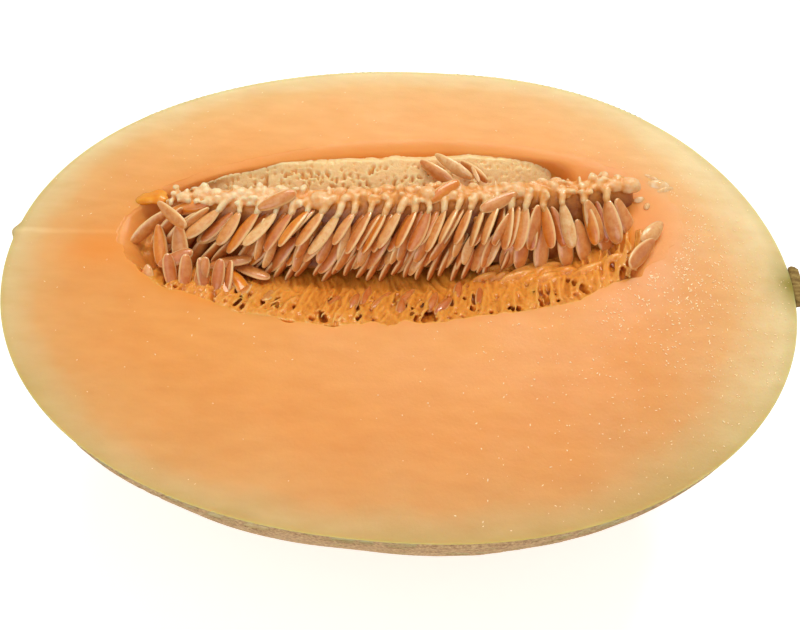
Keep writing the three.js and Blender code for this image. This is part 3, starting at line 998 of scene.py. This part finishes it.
def with_relief(points, part, depth, ring, net):
    """The points with real relief: the net on the rind, a slightly wavy cut, a fibrous wall."""
    # Outwards on the rind, as on an egg that is 100 mm by 72 mm from its middle.
    outward = points * np.array([1 / 1e4, 1 / 5.2e3, 1 / 5.2e3])
    outward /= np.linalg.norm(outward, axis=1)[:, None] + 1e-9
    under = ease(0.5, 3, -points[:, 2])
    swell = (0.38 * (1 - ease(0.15, 0.95, net)) + 0.45 * cloud(points, 26.0, 77, 2)) * under
    lifted = points + outward * (swell - 0.5)[:, None]
    points = np.where((part == OF_RIND)[:, None], lifted, points)
    cut = (part > OF_RIND) & (depth > 0.3)
    wave = 0.14 * cloud(points[cut], 30.0, 81, 2) + 0.035 * cloud(points[cut], 3.0, 83, 2)
    points[cut, 2] += (wave - 0.16) * ease(0.5, 1.0, ring[cut])
    wall = part == OF_HOLLOW
    fibres = cloud(points * np.array([1.0, 0.25, 0.25]), 1.6, 85, 2)
    lump = (0.5 * cloud(points, 5.0, 87, 2) + 0.3 * fibres) * ease(0.5, 5.0, -points[:, 2])
    inward = in_cavity(0, 0, -6) - points
    inward /= np.linalg.norm(inward, axis=1)[:, None]
    points[wall] += (inward * lump[:, None])[wall]
    points[:, 2] = np.maximum(points[:, 2], GROUND)
    return points


def cut_half():
    """The melon half, one grown piece: its rind, its cut face and its hollow."""
    points, faces, part = half_skin()
    flesh = [part[max(face)] > OF_RIND if len(face) == 4 else face[0] > 0 for face in faces]
    depth = under_the_rind(points)
    depth[part == OF_RIND] = 0
    ring = outwards(*cavity_place(points))
    tones = flesh_tones(points, part, depth, ring)
    net = rind_net(points)
    points = with_relief(points, part, depth, ring, net)
    made = piece("cut_half", (points, faces), [RIND, FLESH], **tones, net=net)
    made.data.polygons.foreach_set("material_index", np.array(flesh, np.int32))
    on_melon(made, "flesh_and_rind", finish="flesh")


cut_half()


def stem_scar():
    """The cracked cork disc where the stem came off, halved by the cut."""
    low, high = [(np.array(corner) - ORIGIN) * 1000 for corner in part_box("stem_stub")]
    middle = (low[1] + high[1]) / 2
    radius = (high[1] - low[1]) / 2
    turn = np.linspace(pi, 2 * pi, 41)
    rings = []
    # From the flesh outwards it keeps its width, then rounds off at its broken end.
    for share, size in ((0, 0.97), (0.25, 1.0), (0.55, 0.97), (0.8, 0.86), (1.0, 0.6)):
        ridges = 1 + 0.05 * np.sin(turn * 13 + share * 2) + 0.06 * cloud(
            np.stack([np.cos(turn), np.sin(turn), turn * 0 + share], -1), 0.35, 91, 2
        )
        arc = np.stack(
            [
                np.full(len(turn), low[0] - 0.5 + share * (high[0] - low[0] + 0.4)),
                middle + radius * size * ridges * np.cos(turn),
                high[2] + radius * size * ridges * np.sin(turn),
            ],
            -1,
        )
        knife_cut = np.linspace(arc[-1], arc[0], 12)[1:-1]
        rings.append(np.vstack([arc, knife_cut]))
    rings[-1][:, 0] -= 0.5 * (1 + cloud(rings[-1], 1.5, 93, 2))
    made = piece("stem_scar", loft(rings), [CORK])
    on_melon(made, "stem_stub", finish="cork")


stem_scar()

# ---- Seeds ---------------------------------------------------------------------------------------


def seed_shape(length, width, thickness, seed, fine=True):
    """A melon seed along +Z from its point: a flat drop with a thin margin and a slight bend. Also
    how near its margin each point is, from 0 to 1."""
    draw = np.random.default_rng(seed)
    stations, sides = (22, 20) if fine else (14, 14)
    bend = draw.uniform(-0.5, 0.5)
    sway = draw.uniform(-0.25, 0.25)
    turn = 2 * pi * np.arange(sides) / sides
    rings, margins = [], []
    for share in (1 - np.cos(np.linspace(0.12, pi - 0.1, stations))) / 2:
        round_off = np.sqrt(max(0.0, 1 - (2 * share - 1) ** 2))
        full = round_off**0.85 * (0.72 + 0.42 * share - 0.12 * share**3)
        across = width / 2 * full * np.cos(turn)
        lens = np.sign(np.sin(turn)) * np.abs(np.sin(turn)) ** 1.35
        through = thickness / 2 * round_off**0.7 * lens
        through += 0.07 * cloud(np.stack([across, 0 * turn + share * length], -1), 1.8, seed, 2)
        arch = bend * (1 - (2 * share - 1) ** 2)
        lean = sway * (share - 0.5) ** 2 * 4
        rings.append(np.stack([across + lean, through + arch, 0 * turn + share * length], -1))
        margins.append(np.maximum(np.abs(np.cos(turn)), (2 * share - 1) ** 4))
    points, faces = loft(rings)
    margin = np.concatenate([[1.0], np.concatenate(margins), [1.0]])
    return points, faces, margin


def stood(shape, spot, pointing, facing):
    """A seed's shape with its point at a spot, its length this way and its flat side that way."""
    pointing = unit(pointing)
    facing = np.asarray(facing, float)
    facing = unit(facing - pointing * facing.dot(pointing))
    side = np.cross(facing, pointing)
    points = shape[0] @ np.stack([side, facing, pointing]) + np.asarray(spot, float)
    return points, shape[1]


def seed_of(node):
    """A frame seed's spot, pointing, facing and length, read from its own points."""
    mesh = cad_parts[node].data
    co = np.empty(len(mesh.vertices) * 3)
    mesh.vertices.foreach_get("co", co)
    points = (co.reshape(-1, 3) - ORIGIN) * 1000
    middle = points.mean(0)
    _, ways = np.linalg.eigh(np.cov((points - middle).T))
    pointing, facing = ways[:, 2], ways[:, 0]  # its longest and its thinnest way
    far = (points - middle) @ pointing
    off = np.linalg.norm(points - middle - np.outer(far, pointing), axis=1)
    if off[far > 0].mean() < off[far < 0].mean():  # it is slimmer towards its point
        pointing, far = -pointing, -far
    if facing[2] < 0:
        facing = -facing
    return middle + pointing * far.min(), pointing, facing, far.max() - far.min()


SEED_NODES = sorted(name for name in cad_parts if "_seed_" in name)
STANDING = {}  # each of their spots, pointings, facings and lengths, once they are made


def frame_seeds():
    """The seeds that the frame places, each as its own piece."""
    draw = np.random.default_rng(7)
    for number, node in enumerate(SEED_NODES):
        spot, pointing, facing, length = seed_of(node)
        length = length / 0.96  # a little longer than the frame's plain ones
        width = SEED_WIDTH * draw.uniform(0.74, 1.08)
        if cavity_place(spot)[0] > 28:
            width *= 1.1  # the stem side has the broadest
        pointing = unit(pointing + draw.normal(0, 0.085, 3))
        facing = unit(facing + draw.normal(0, 0.26, 3))
        length *= draw.uniform(0.88, 1.07)
        points, faces, margin = seed_shape(length, width, SEED_THICKNESS, 100 + number)
        # One seed in six is still coated with orange gel, which is what the lowest tints are.
        tint = draw.uniform(0.3, 0.95) if draw.uniform() > 0.16 else draw.uniform(0.0, 0.08)
        shape = stood((points, faces), spot, pointing, facing)
        STANDING[node] = (spot, pointing, facing, length)
        made = piece(f"{node}_hull", shape, [SEED], margin=margin, tint=tint)
        on_melon(made, node, finish="seed_coat")


frame_seeds()


def fringe_way(lean, lift):
    """The way a seed of the fringe points: down the slope, leaning to the blossom end, lifted. Also
    the way out of the slope."""
    flat = in_cavity(np.array([0.0, 1.0]), 0.0)
    along = flat[1] - flat[0]
    across = in_cavity(0.0, 1.0) - flat[0]
    down = -cos(FRINGE_SLOPE) * across - sin(FRINGE_SLOPE) * np.array([0, 0, 1.0])
    out = -sin(FRINGE_SLOPE) * across + cos(FRINGE_SLOPE) * np.array([0, 0, 1.0])
    way = -sin(lean) * cos(lift) * along + cos(lean) * cos(lift) * down + sin(lift) * out
    return way, out


def crest_front(along):
    """How far across the hollow the front of the crest is. It bows back at both ends."""
    return 4.0 + 3.0 * (along / RIDGE_REACH) ** 2


def more_seeds():
    """The small or half-hidden seeds between the frame's own."""
    draw = np.random.default_rng(23)
    shapes, margins, tints = [], [], []

    def lay(spot, pointing, facing, length, width, tint=None):
        """A seed with its point at a spot. Without a tint, it gets one by chance."""
        points, faces, margin = seed_shape(
            length, width, TUCKED_THICKNESS, 400 + len(shapes), fine=False
        )
        shapes.append(stood((points, faces), spot, pointing, facing))
        margins.append(margin)
        tints.append(np.full(len(points), draw.uniform(0.2, 0.8) if tint is None else tint))

    def hang(along, drop, lean, lift, twist, length, width, off, tint=None):
        """A seed on the fringe, this far down it and off it. lean, lift and twist are in degrees."""
        way, out = fringe_way(radians(lean), radians(lift))
        down, _ = fringe_way(0.0, 0.0)
        spot = in_cavity(along, crest_front(along), RIDGE_TOP - 1) + down * drop + out * off
        side = np.cross(out, way)
        facing = out * cos(radians(twist)) + side * sin(radians(twist))
        lay(spot, way, facing, length, width, tint)

    # Between and behind the two rows.
    rows = [name for name in SEED_NODES if name.startswith(("upper_seed", "lower_seed"))]
    for first, second in zip(rows, rows[1:]):
        a, b = STANDING[first], STANDING[second]
        apart = np.linalg.norm(a[0] - b[0])
        if apart > 9 or draw.uniform() < 0.2:
            # Between and behind the two rows. Their darker tints are painted shade.
            continue
        spot = (a[0] + b[0]) / 2 + np.array([0, 1.0, -1.7]) + draw.normal(0, 0.35, 3)
        pointing = a[1] + b[1] + draw.normal(0, 0.12, 3)
        lay(spot, pointing, a[2] + b[2], 11.5, 3.9, draw.uniform(0.1, 0.6))
    # The long leaning ones at the blossom side of both rows.
    for along, drop, lean, twist in (
        (-61, 1.5, 50, 30), (-57.5, 0.8, 47, 44), (-54.0, 2.2, 50, 34), (-50.5, 0.6, 48, 50),
        (-58, 6.2, 40, 40), (-54, 6.8, 44, 52), (-50, 6.4, 42, 40), (-46, 7.0, 44, 56),
        (-42.5, 6.6, 42, 46), (-39, 7.4, 40, 56),
    ):
        hang(along, drop, lean + draw.normal(0, 3), 12, twist, draw.uniform(12, 14), 4.3, 1.6)
    # Small ones at the foot of the fringe. They lean less towards the stem. Their darker tints are
    # painted shade.
    for along in np.arange(-33, 30, 3.1):
        place = along + draw.normal(0, 0.5)
        drop = 12.6 + draw.normal(0, 0.8)
        lean = 34 - 0.35 * (along + 10)
        length = draw.uniform(7.5, 9.5)
        hang(place, drop, lean, 14, 58, length, 3.4, 1.8, draw.uniform(0.05, 0.4))
    # Slim ones that lie askew over both rows.
    for along in np.arange(-36, 30, 4.3):
        place = along + draw.normal(0, 1.0)
        drop = draw.uniform(2.5, 8.5)
        lean = 26 + draw.normal(0, 8)
        twist = draw.uniform(10, 70)
        length = draw.uniform(9, 11.5)
        hang(place, drop, lean, 16, twist, length, 3.5, 2.9, draw.uniform(0.4, 0.95))
    # The broad ones at the stem side, face on.
    for along, drop, lean, twist in (
        (33, 6.6, 8, 14), (38, 7.6, 4, 8), (43, 7.0, -8, 12), (36, 1.4, 10, 24),
        (47, 6.2, -14, 16), (52, 5.4, -22, 20), (57, 1.5, -28, 22), (49, 1.0, -20, 14),
    ):
        length = draw.uniform(11.5, 13.2)
        hang(along, drop, lean, 14, twist, length, 4.9, 1.7, draw.uniform(0.35, 0.7))
    # At the blossom end, in the corner of the hollow.
    for along, across, height, way in (
        (-63.0, -10.6, -1.8, (0.9, 0.5, 0.1)), (-65.4, -10.4, -1.2, (0.1, -1, -0.35)),
        (-64.5, 6.5, -0.8, (0.3, -0.9, -0.3)), (-60.5, 4.5, -1.4, (-0.15, -0.95, -0.3)),
    ):
        lay(in_cavity(along, across, height), way, (0.1, -0.3, 1), 9.5, 4.2)
    # In the pocket on the blossom side, side by side, with their round ends up, in darker tints that
    # are painted shade.
    for index in range(6):
        along = -58.6 + 2.5 * index + draw.normal(0, 0.3)
        across = -12.6 - 0.2 * index
        height = bed_height(along, across) + 0.3
        way = (draw.normal(0.03, 0.14), 0.8, 0.5)
        facing = (draw.normal(0.3, 0.4), -0.6, 0.6)
        spot = in_cavity(along, across - 5, height - 0.6)
        lay(spot, way, facing, 10.5, 3.7, draw.uniform(0.1, 0.4))
    # Two long ones coated with gel, where the pocket ends, and two paler ones over them.
    for along, across, way, tint in (
        (-45.6, -9.0, (0.6, -0.78, 0.0), 0.0), (-46.5, -12.5, (0.3, -0.9, -0.1), 0.02),
        (-46.0, -6.4, (0.9, -0.3, 0.0), 0.6), (-51.5, -8.6, (0.9, 0.25, 0.05), 0.5),
    ):
        spot = in_cavity(along, across, bed_height(along, across) + 2.6)
        lay(spot, way, (0.3, 0.2, 1), 11.8, 4.3, tint)
    # Lying over the crest.
    for along, across, height, way, tint in (
        (6.2, 3.4, 3.4, (0.72, 0.6, 0.12), 0.03), (-38, 3.0, 3.2, (0.85, 0.42, 0.2), 0.6),
        (-61.6, 4.4, 1.6, (0.93, 0.3, 0.1), 0.0), (31, 5.5, 4.4, (-0.85, -0.5, -0.12), 0.55),
        (-44.5, 2.6, 0.4, (-0.75, -0.5, -0.3), 0.95),
    ):
        lay(in_cavity(along, across, height), way, (0, -0.5, 0.85), 11.5, 4.1, tint)
    # Peeping out of the slits in the pulp in front, in darker tints that are painted shade.
    for along, across in (
        (-12, -21), (-9.0, -17.5), (-3.5, -20.5), (-0.5, -24), (2.5, -19), (8.5, -21.5),
        (12, -24.5), (-17, -22), (20, -20.5), (15, -16.5),
    ):
        height = bed_height(along, across) - 0.6
        way = np.array([draw.uniform(-0.45, 0.05), -0.8, 0.3])
        spot = in_cavity(along, across + 4.5, height - 1.2)
        lay(spot, way, (0.2, 0.3, 1), 8.6, 2.8, draw.uniform(0.12, 0.35))
    made = piece(
        "tucked_seeds",
        joined(shapes),
        [SEED],
        margin=np.concatenate(margins),
        tint=np.concatenate(tints),
    )
    on_melon(made, finish="seed_coat")


more_seeds()

# ---- The seed ridge: a creamy crest with a knob over each seed's point ----------------------------


def ridge_core():
    """The plain ridge that the seeds stand on, lower and thinner at both ends."""
    rings = []
    for along in np.linspace(-RIDGE_REACH + 1, RIDGE_REACH - 1, 60):
        size = 0.45 + 0.55 * (1 - abs(along / RIDGE_REACH) ** 8)
        front = crest_front(along)
        back = front + 6.0 * size
        top = RIDGE_TOP * size + 0.6 * float(cloud(np.array([[along, 0.0]]), 9.0, 33, 2)[0])
        foot = front - (top - RIDGE_FOOT) / tan(FRINGE_SLOPE)
        outline = [
            (back + 1.5, RIDGE_FOOT), (back + 0.8, RIDGE_FOOT / 2), (back + 0.2, top - 2.2),
            (back - 1.2, top - 0.4), (front + 1.8, top), (front + 0.2, top - 1.4),
            ((front + foot) / 2, (top - 13) / 2), (foot, RIDGE_FOOT),
        ]
        rings.append(in_cavity(along, *np.array(outline).T))
    return loft(rings)


def seed_ridge():
    """The crest grown over its core: lumps of tissue, and a knob that holds each seed's point."""
    draw = np.random.default_rng(31)
    shapes = [ridge_core()]
    # Lumps along the crest.
    for along in np.arange(-RIDGE_REACH + 3, RIDGE_REACH - 2, 1.7):
        place = along + draw.uniform(-0.8, 0.8)
        size = draw.uniform(0.8, 1.8) * (1.0 if draw.uniform() < 0.85 else 1.5)
        middle = in_cavity(place, crest_front(place) + draw.uniform(0.6, 5.2), RIDGE_TOP - 0.7)
        radii = (size * 1.2, size, size * draw.uniform(0.6, 1.0))
        shapes.append(blob(middle, radii, int(along) + 90, 0.2))
    # A knob over the point of each seed in the upper row, and a thinner one over the lower row.
    for node, (spot, pointing, facing, length) in STANDING.items():
        if not node.startswith(("upper_seed", "lower_seed")):
            continue
        upper = node.startswith("upper")
        thick = draw.uniform(0.7, 1.15) if upper else draw.uniform(0.5, 0.8)
        reach = draw.uniform(0.06, 0.2)
        start = spot + np.array([0, 2.6, 0.2 if upper else 1.2]) - pointing * 1.2
        start += np.array([draw.normal(0, 0.5), 0, 0])
        end = spot + pointing * length * reach
        path = [start, (start + spot) / 2 + np.array([0, 0, 0.4]), spot + facing * 0.15, end]
        shapes.append(tube(path, [thick * 1.3, thick * 1.1, thick, thick * 0.45], 9))
    # Crumbs of tissue all over the crest.
    for _ in range(170):
        place = draw.uniform(-RIDGE_REACH + 3, RIDGE_REACH - 2)
        across = crest_front(place) + draw.uniform(-0.4, 5.6)
        middle = in_cavity(place, across, RIDGE_TOP + draw.uniform(-1.4, 0.2))
        radii = draw.uniform(0.45, 1.5, 3) * (1, 1, 0.8)
        shapes.append(blob(middle, radii, len(shapes), 0.4))
    spacing = 0.38
    points, faces = fused(shapes, spacing, 1)
    along, _ = cavity_place(points)
    # Knobs are creamy, and the dips between them and the low parts are brown: painted shade over
    # the tissue's own cream and orange. The blossom end is the palest.
    high = ease(-1.5, 4.2, points[:, 2])
    knobs = np.clip(bulge((points, faces), spacing), -1, 1.2)
    tone = 0.05 + 0.52 * high + 0.4 * knobs + 0.16 * cloud(points, 3.0, 35, 2)
    tone += 0.18 * ease(-18, -36, along) * high
    points += 0.12 * np.stack([cloud(points, 1.4, 36 + axis, 2) for axis in range(3)], -1)
    made = piece("creamy_crest", (points, faces), [CREST], tone=np.clip(tone, 0, 1))
    on_melon(made, "seed_ridge", finish="placenta")


seed_ridge()


def back_lobe():
    """The spongy pale band along the far wall."""
    start, stop = -63.0, 44.0
    middle, half = (start + stop) / 2, (stop - start) / 2
    rings = []
    for along in np.linspace(start, stop, 90):
        size = 0.35 + 0.65 * np.sqrt(max(0.0, 1 - abs((along - middle) / half) ** 6))
        wave = cloud(np.array([[along, 3.0], [along, 9.0], [along, 15.0]]), 7.0, 51, 2)
        wall = CAVITY_WIDTH / 2 * np.sqrt(max(0.02, 1 - (along / (CAVITY_LENGTH / 2)) ** 2))
        front = crest_front(along) + 6.5
        back = max(min(wall - 1.2, 26.5 + 0.6 * wave[0]), front + 3)
        rim = -1.2 - 3.5 * (1 - size) + 0.5 * wave[1]
        foot = -9.5 - 2 * (1 - size)
        outline = [
            (back + 1.5, -14.0), (back + 0.3, rim - 2.5), (back - 0.9, rim - 0.4),
            (back - 2.6, rim), ((2 * back + front) / 3, rim - 1.4 + 0.5 * wave[2]),
            ((back + 2 * front) / 3, rim - 4.0), (front, foot + 1.5), (front - 1, -14.0),
        ]
        rings.append(in_cavity(along, *np.array(outline).T))
    spacing = 0.4
    points, faces = fused([loft(rings)], spacing, 3)
    along, across = cavity_place(points)
    # Pits up to 1.4 mm deep, most of them in the middle of the band and below its smooth rim.
    pits = cloud(points * np.array([1.3, 0.55, 1]), 0.85, 53, 3)
    spongy = ease(-60, -30, along) * ease(30, 12, along) * ease(25.5, 21, across) + 0.25
    spongy *= ease(-0.9, -2.0, points[:, 2])
    dent = -1.4 * ease(0.12, 0.5, pits) * spongy + 0.35 * cloud(points, 4.5, 55, 2)
    points[:, 2] += dent
    points[:, 1] += 0.3 * dent
    # Knobs are lighter, and the pits and the lower part are darker: painted shade.
    tone = 0.74 + 0.3 * bulge((points, faces), spacing) + 0.1 * cloud(points, 9.0, 57, 2)
    tone += 0.2 * dent - 0.25 * ease(-3, -9, points[:, 2])
    made = piece("spongy_back", (points, faces), [SPONGE], tone=np.clip(tone, 0, 1))
    on_melon(made, "back_lobe", finish="placenta")


back_lobe()

# ---- The pulp in front: a web of strands over slits ------------------------------------------------


WEB_SLANT = 0.26  # how far along the hollow a strand moves, for each mm across it


def web_holes(along, across):
    """0 on the strands and 1 in the slits between them. The slits run from edge to ridge."""
    flat = np.stack(np.broadcast_arrays(along, across), -1)
    bent = along + WEB_SLANT * (across + 20) + 1.1 * cloud(flat, 6.0, 101, 2)
    holes = cloud(np.stack([bent / 0.95, across / 5.6], -1), 1.25, 103, 2)
    wall = -wall_at(along)
    low = ease(wall + 16, wall + 9, across) * ease(wall + 0.6, wall + 2.0, across)
    return ease(0.06, 0.26, holes - 0.25 * (1 - low)) * low


def web_height(along, across):
    """The web's level: fine ridges that run from edge to ridge, with slits 1.9 mm deep."""
    flat = np.stack(np.broadcast_arrays(along, across), -1)
    bent = along + WEB_SLANT * (across + 20) + 0.9 * cloud(flat, 5.0, 105, 2)
    ridges = 1 - np.abs(cloud(np.stack([bent / 1.1, across / 9.0], -1), 1.2, 107, 2)) * 2.4
    level = bed_height(along, across) + 0.55 * ridges - 0.2
    return level - 1.9 * web_holes(along, across) + 0.5 * cloud(flat, 7.0, 109, 2)


def pulp_floor():
    """The smooth gelled pulp under the ridge and at both ends of the hollow."""
    edge_along, edge_across = cavity_edge(2 * pi * np.arange(360) / 360)
    thickness = 4.0
    top, bottom = [], []
    for share in np.linspace(0.02, 0.985, 64):
        along, across = edge_along * share, edge_across * share
        flat = np.stack([along, across], -1)
        height = bed_height(along, across)
        height = height + 0.45 * cloud(flat, 5.0, 111, 3) + 0.25 * cloud(flat, 1.4, 112, 2)
        # In front it stays under the web, and where the flesh runs in, under the flesh.
        height -= 3.6 * ease(-3, -8, across) * ease(0.99, 0.93, share)
        height -= 1.6 * ease(0.45, 0.8, grown_in(along, across)[0])
        top.append(in_cavity(along, across, height))
        bottom.append(in_cavity(along, across, height - thickness))
    points, faces = fused([loft([*bottom, *top[::-1]])], 0.6, 3)
    # Darker further down in the hollow: painted shade.
    tone = 0.5 + 0.22 * cloud(points, 6.0, 117, 2) - 0.35 * ease(-5, -13, points[:, 2])
    made = piece("pulp_floor", (points, faces), [PULP], tone=np.clip(tone, 0, 1))
    on_melon(made, "pulp_bed", finish="pulp")


def web_sheet():
    """The web itself, from the hollow's near edge to under the seeds."""
    rings = []
    for along in np.arange(-66, 66.1, 0.36):
        across = np.linspace(-float(wall_at(along)) - 0.7, -3.0, 66)
        height = np.minimum(web_height(along, across), -0.2)
        # It dives under the flesh where that runs in.
        height = height - 1.8 * ease(0.35, 0.75, grown_in(along, across)[0])
        back = across[::-3]
        under = bed_height(along, back) - 4.6
        rings.append(np.vstack([in_cavity(along, across, height), in_cavity(along, back, under)]))
    return loft(rings)


def pulp_web():
    """The net of strands in front of the seeds."""
    draw = np.random.default_rng(61)
    shapes = [web_sheet()]
    # Loose strands, some of which bow up.
    for _ in range(210):
        along = draw.uniform(-60, 60)
        edge = -float(wall_at(along))
        first = edge + draw.uniform(-0.3, 6.0)
        last = min(-3.5, first + draw.uniform(5, 15))
        if last - first < 3:
            continue
        share = np.linspace(0, 1, 12)
        wiggle = 0.7 * cloud(np.stack([share * 3 + along, share * 0], -1), 1.0, 113, 2)
        slant = WEB_SLANT * (last - first) * share
        path_along = along + slant + draw.normal(0, 0.5) * share + wiggle
        path_across = first + (last - first) * share
        height = bed_height(path_along, path_across) + draw.uniform(-0.2, 0.5)
        height += 0.35 * np.sin(share * pi) * (draw.uniform() < 0.4)
        height = np.minimum(height, -0.1)
        path = in_cavity(path_along, path_across, height)
        thick = draw.uniform(0.22, 0.46)
        shapes.append(tube(path, thick * (0.7 + 0.5 * np.cos(share * 7 + along) ** 2), 7))
    # Folds of gelled pulp at the stem side.
    for _ in range(34):
        along, across = draw.normal(34, 7.0), draw.normal(-11.0, 2.6)
        share = np.linspace(-1, 1, 9)
        half = draw.uniform(2.2, 5.0)
        path_along = along + half * share
        path_across = across + 0.35 * half * share + draw.uniform(-1.6, 1.6) * share**2
        height = bed_height(path_along, path_across) + draw.uniform(-0.1, 1.0) - 0.9 * share**2
        path = in_cavity(path_along, path_across, height)
        shapes.append(tube(path, 0.25 + 0.9 * (1 - share**2), 9))
    spacing = 0.36
    points, faces = fused(shapes, spacing, 1)
    along, across = cavity_place(points)
    # Strands are lighter than slits, and lightest along the near edge. The slits and low places are
    # darker as painted shade.
    rise = points[:, 2] - bed_height(along, across)
    tone = 0.42 + 0.1 * rise + 0.26 * bulge((points, faces), spacing)
    tone += 0.14 * cloud(points, 9.0, 119, 2)
    tone += 0.12 * ease(7, 1, across + wall_at(along)) * ease(-1.2, -0.4, rise)
    made = piece("pulp_web", (points, faces), [PULP], tone=np.clip(tone, 0, 1))
    on_melon(made, finish="pulp")


pulp_floor()
pulp_web()

# ---- Gel, membranes and juice ----------------------------------------------------------------------


def gel_lumps():
    """A blob of gel, as nine lumps run together, behind the seeds at the blossom end."""
    draw = np.random.default_rng(71)
    shapes = []
    for index in range(9):
        offset = draw.normal(0, 1, 3) * np.array((2.2, 1.1, 0.3))
        middle = in_cavity(-66.5 + offset[0], 10.5 + offset[1], offset[2])
        radius = 1.7 * draw.uniform(0.6, 1.2)
        shapes.append(blob(middle, (radius * 1.5, radius, radius * 0.6), 500 + index, 0.25))
    made = piece("gel_lumps", fused(shapes, 0.45, 5), [GEL])
    on_melon(made, finish="pulp")


gel_lumps()


def seed_skins():
    """Bits of the thin skin that seeds grow in: torn shells, six at the stem end and one by the
    seeds at the back. Each has its middle, its length, its width, its turn in degrees and how far
    it bulges."""
    thickness = 0.22
    shapes = []
    for number, (along, across, height, length, width, turn, cup) in enumerate((
        (71.0, 11.3, -0.3, 6.5, 3.6, -14, 1.3),
        (72.4, 9.4, -0.3, 5.2, 1.8, 16, 0.9),
        (69.6, 14.0, -0.3, 4.6, 1.3, -30, 0.7),
        (63.4, -7.6, -1.9, 5.6, 1.7, 84, 1.5),
        (64.8, 6.6, -0.9, 3.4, 1.8, 10, 1.0),
        (66.4, 4.2, -0.8, 2.6, 1.6, 60, 0.8),
        (21.0, 16.5, 0.4, 7.0, 1.4, -76, 0.8),
    )):
        rings = []
        for share in np.linspace(-0.96, 0.96, 15):
            wide = width / 2 * np.sqrt(1 - share**2)
            side = np.linspace(-1, 1, 13)
            flat = np.stack([side * 3, 0 * side + share * 4], -1)
            over = cup * (1 - side**2) * (1 - share**2) + 0.14 * cloud(flat, 1.0, 200 + number, 2)
            upper = np.stack([0 * side + share * length / 2, side * wide, over], -1)
            under = upper[::-1] - np.array([0, 0, thickness])
            rings.append(np.vstack([upper, under]))
        points, faces = loft(rings)
        c, s = cos(radians(turn)), sin(radians(turn))
        turned = points @ np.array([[c, s, 0], [-s, c, 0], [0, 0, 1]])
        shapes.append((in_cavity(*(turned + (along, across, height)).T), faces))
    made = piece("seed_skins", joined(shapes), [MEMBRANE])
    on_melon(made, finish="seed_coat")


seed_skins()


def juice_glint_beads():
    """Tiny beads of juice on the cut face, most of them towards the stem, painted as glints."""
    draw = np.random.default_rng(83)
    shapes = []
    while len(shapes) < BEADS:
        turn = draw.uniform(0, 2 * pi)
        share = draw.uniform(0.05, 0.97) ** 1.3
        rim = rim_point(np.array([turn]))[0]
        edge = in_cavity(*cavity_edge(np.array([turn]), -0.8))[0][:2]
        spot = edge + (rim - edge) * share
        # They are thick on a patch 30 mm from the stem, and thin over the near half round it.
        close = np.exp(-(((spot[0] - 70) / 16) ** 2) - ((spot[1] + 2) / 22) ** 2)
        wide = ease(0, 60, spot[0]) * ease(25, -25, spot[1])
        if draw.uniform() > 0.03 + 0.5 * wide + 0.9 * close:
            continue
        size = draw.uniform(0.04, 0.12) * (1 + 0.4 * close)
        radii = (size * draw.uniform(1, 3.2), size, size * 0.7)
        points, faces = blob((0, 0, 0), radii, len(shapes), 0.35, 8)
        turn = draw.uniform(0, pi)
        flat = points[:, :2] @ np.array([[cos(turn), sin(turn)], [-sin(turn), cos(turn)]])
        shapes.append((np.column_stack([flat + spot, points[:, 2] - 0.08]), faces))
    made = piece("juice_glints_on_the_cut", joined(shapes), [JUICE_GLINT])
    on_melon(made, finish="flesh")


juice_glint_beads()

# ---- Table, light and camera -----------------------------------------------------------------------


def table_top():
    """A flat sheet of matt card, 2.8 m wide, under the melon."""
    corners = np.array([[-1, -1], [1, -1], [1, 1], [-1, 1]]) * 1400.0
    points = np.column_stack([corners, np.full(4, GROUND)])
    made = piece("table_card", (points, [[0, 1, 2, 3]]), [matt_card()])


def lamp(name, spot, aim, size, power, tint):
    """A soft rectangular studio light. spot and aim are in mm."""
    data = bpy.data.lights.new(name, "AREA")
    data.shape = "RECTANGLE"
    data.size, data.size_y = size[0] / 1000, size[1] / 1000
    data.energy = power
    data.color = colour(tint)[:3]
    made = bpy.data.objects.new(name, data)
    made.location = placed(spot)
    made.rotation_euler = (
        (Vector(placed(aim)) - made.location).to_track_quat("-Z", "Y").to_euler()
    )
    bpy.context.scene.collection.objects.link(made)


def light_and_camera():
    """Daylight from behind, softened, in a pale room, and a camera that looks down on the cut."""
    lamp("key_softbox", (60, 560, 800), (0, 0, -10), (560, 420), 4.5, "#fff6ea")
    lamp("small_window", (300, 460, 640), (20, 0, 0), (60, 80), 0.8, "#ffffff")
    lamp("overhead_softbox", (-60, -60, 640), (0, 0, 0), (560, 560), 0.7, "#ffffff")
    lamp("front_fill", (-150, -640, 420), (0, -10, -20), (620, 420), 1.3, "#fffaf4")
    world = bpy.data.worlds.new("pale_room")
    world.use_nodes = True
    backdrop = world.node_tree.nodes["Background"]
    backdrop.inputs["Color"].default_value = colour("#fffdfa")
    backdrop.inputs["Strength"].default_value = 0.4
    bpy.context.scene.world = world
    bpy.context.scene.view_settings.view_transform = "Standard"

    data = bpy.data.cameras.new("camera")
    data.sensor_width = 36.0
    data.lens = 31.47
    data.clip_start = 0.005
    made = bpy.data.objects.new("camera", data)
    made.location = placed((10.9, -107.7, 143.4))
    aim = Vector(placed((3.0, -17.7, 0.0)))
    made.rotation_euler = (aim - made.location).to_track_quat("-Z", "Y").to_euler()
    bpy.context.scene.collection.objects.link(made)
    bpy.context.scene.camera = made


table_top()
light_and_camera()
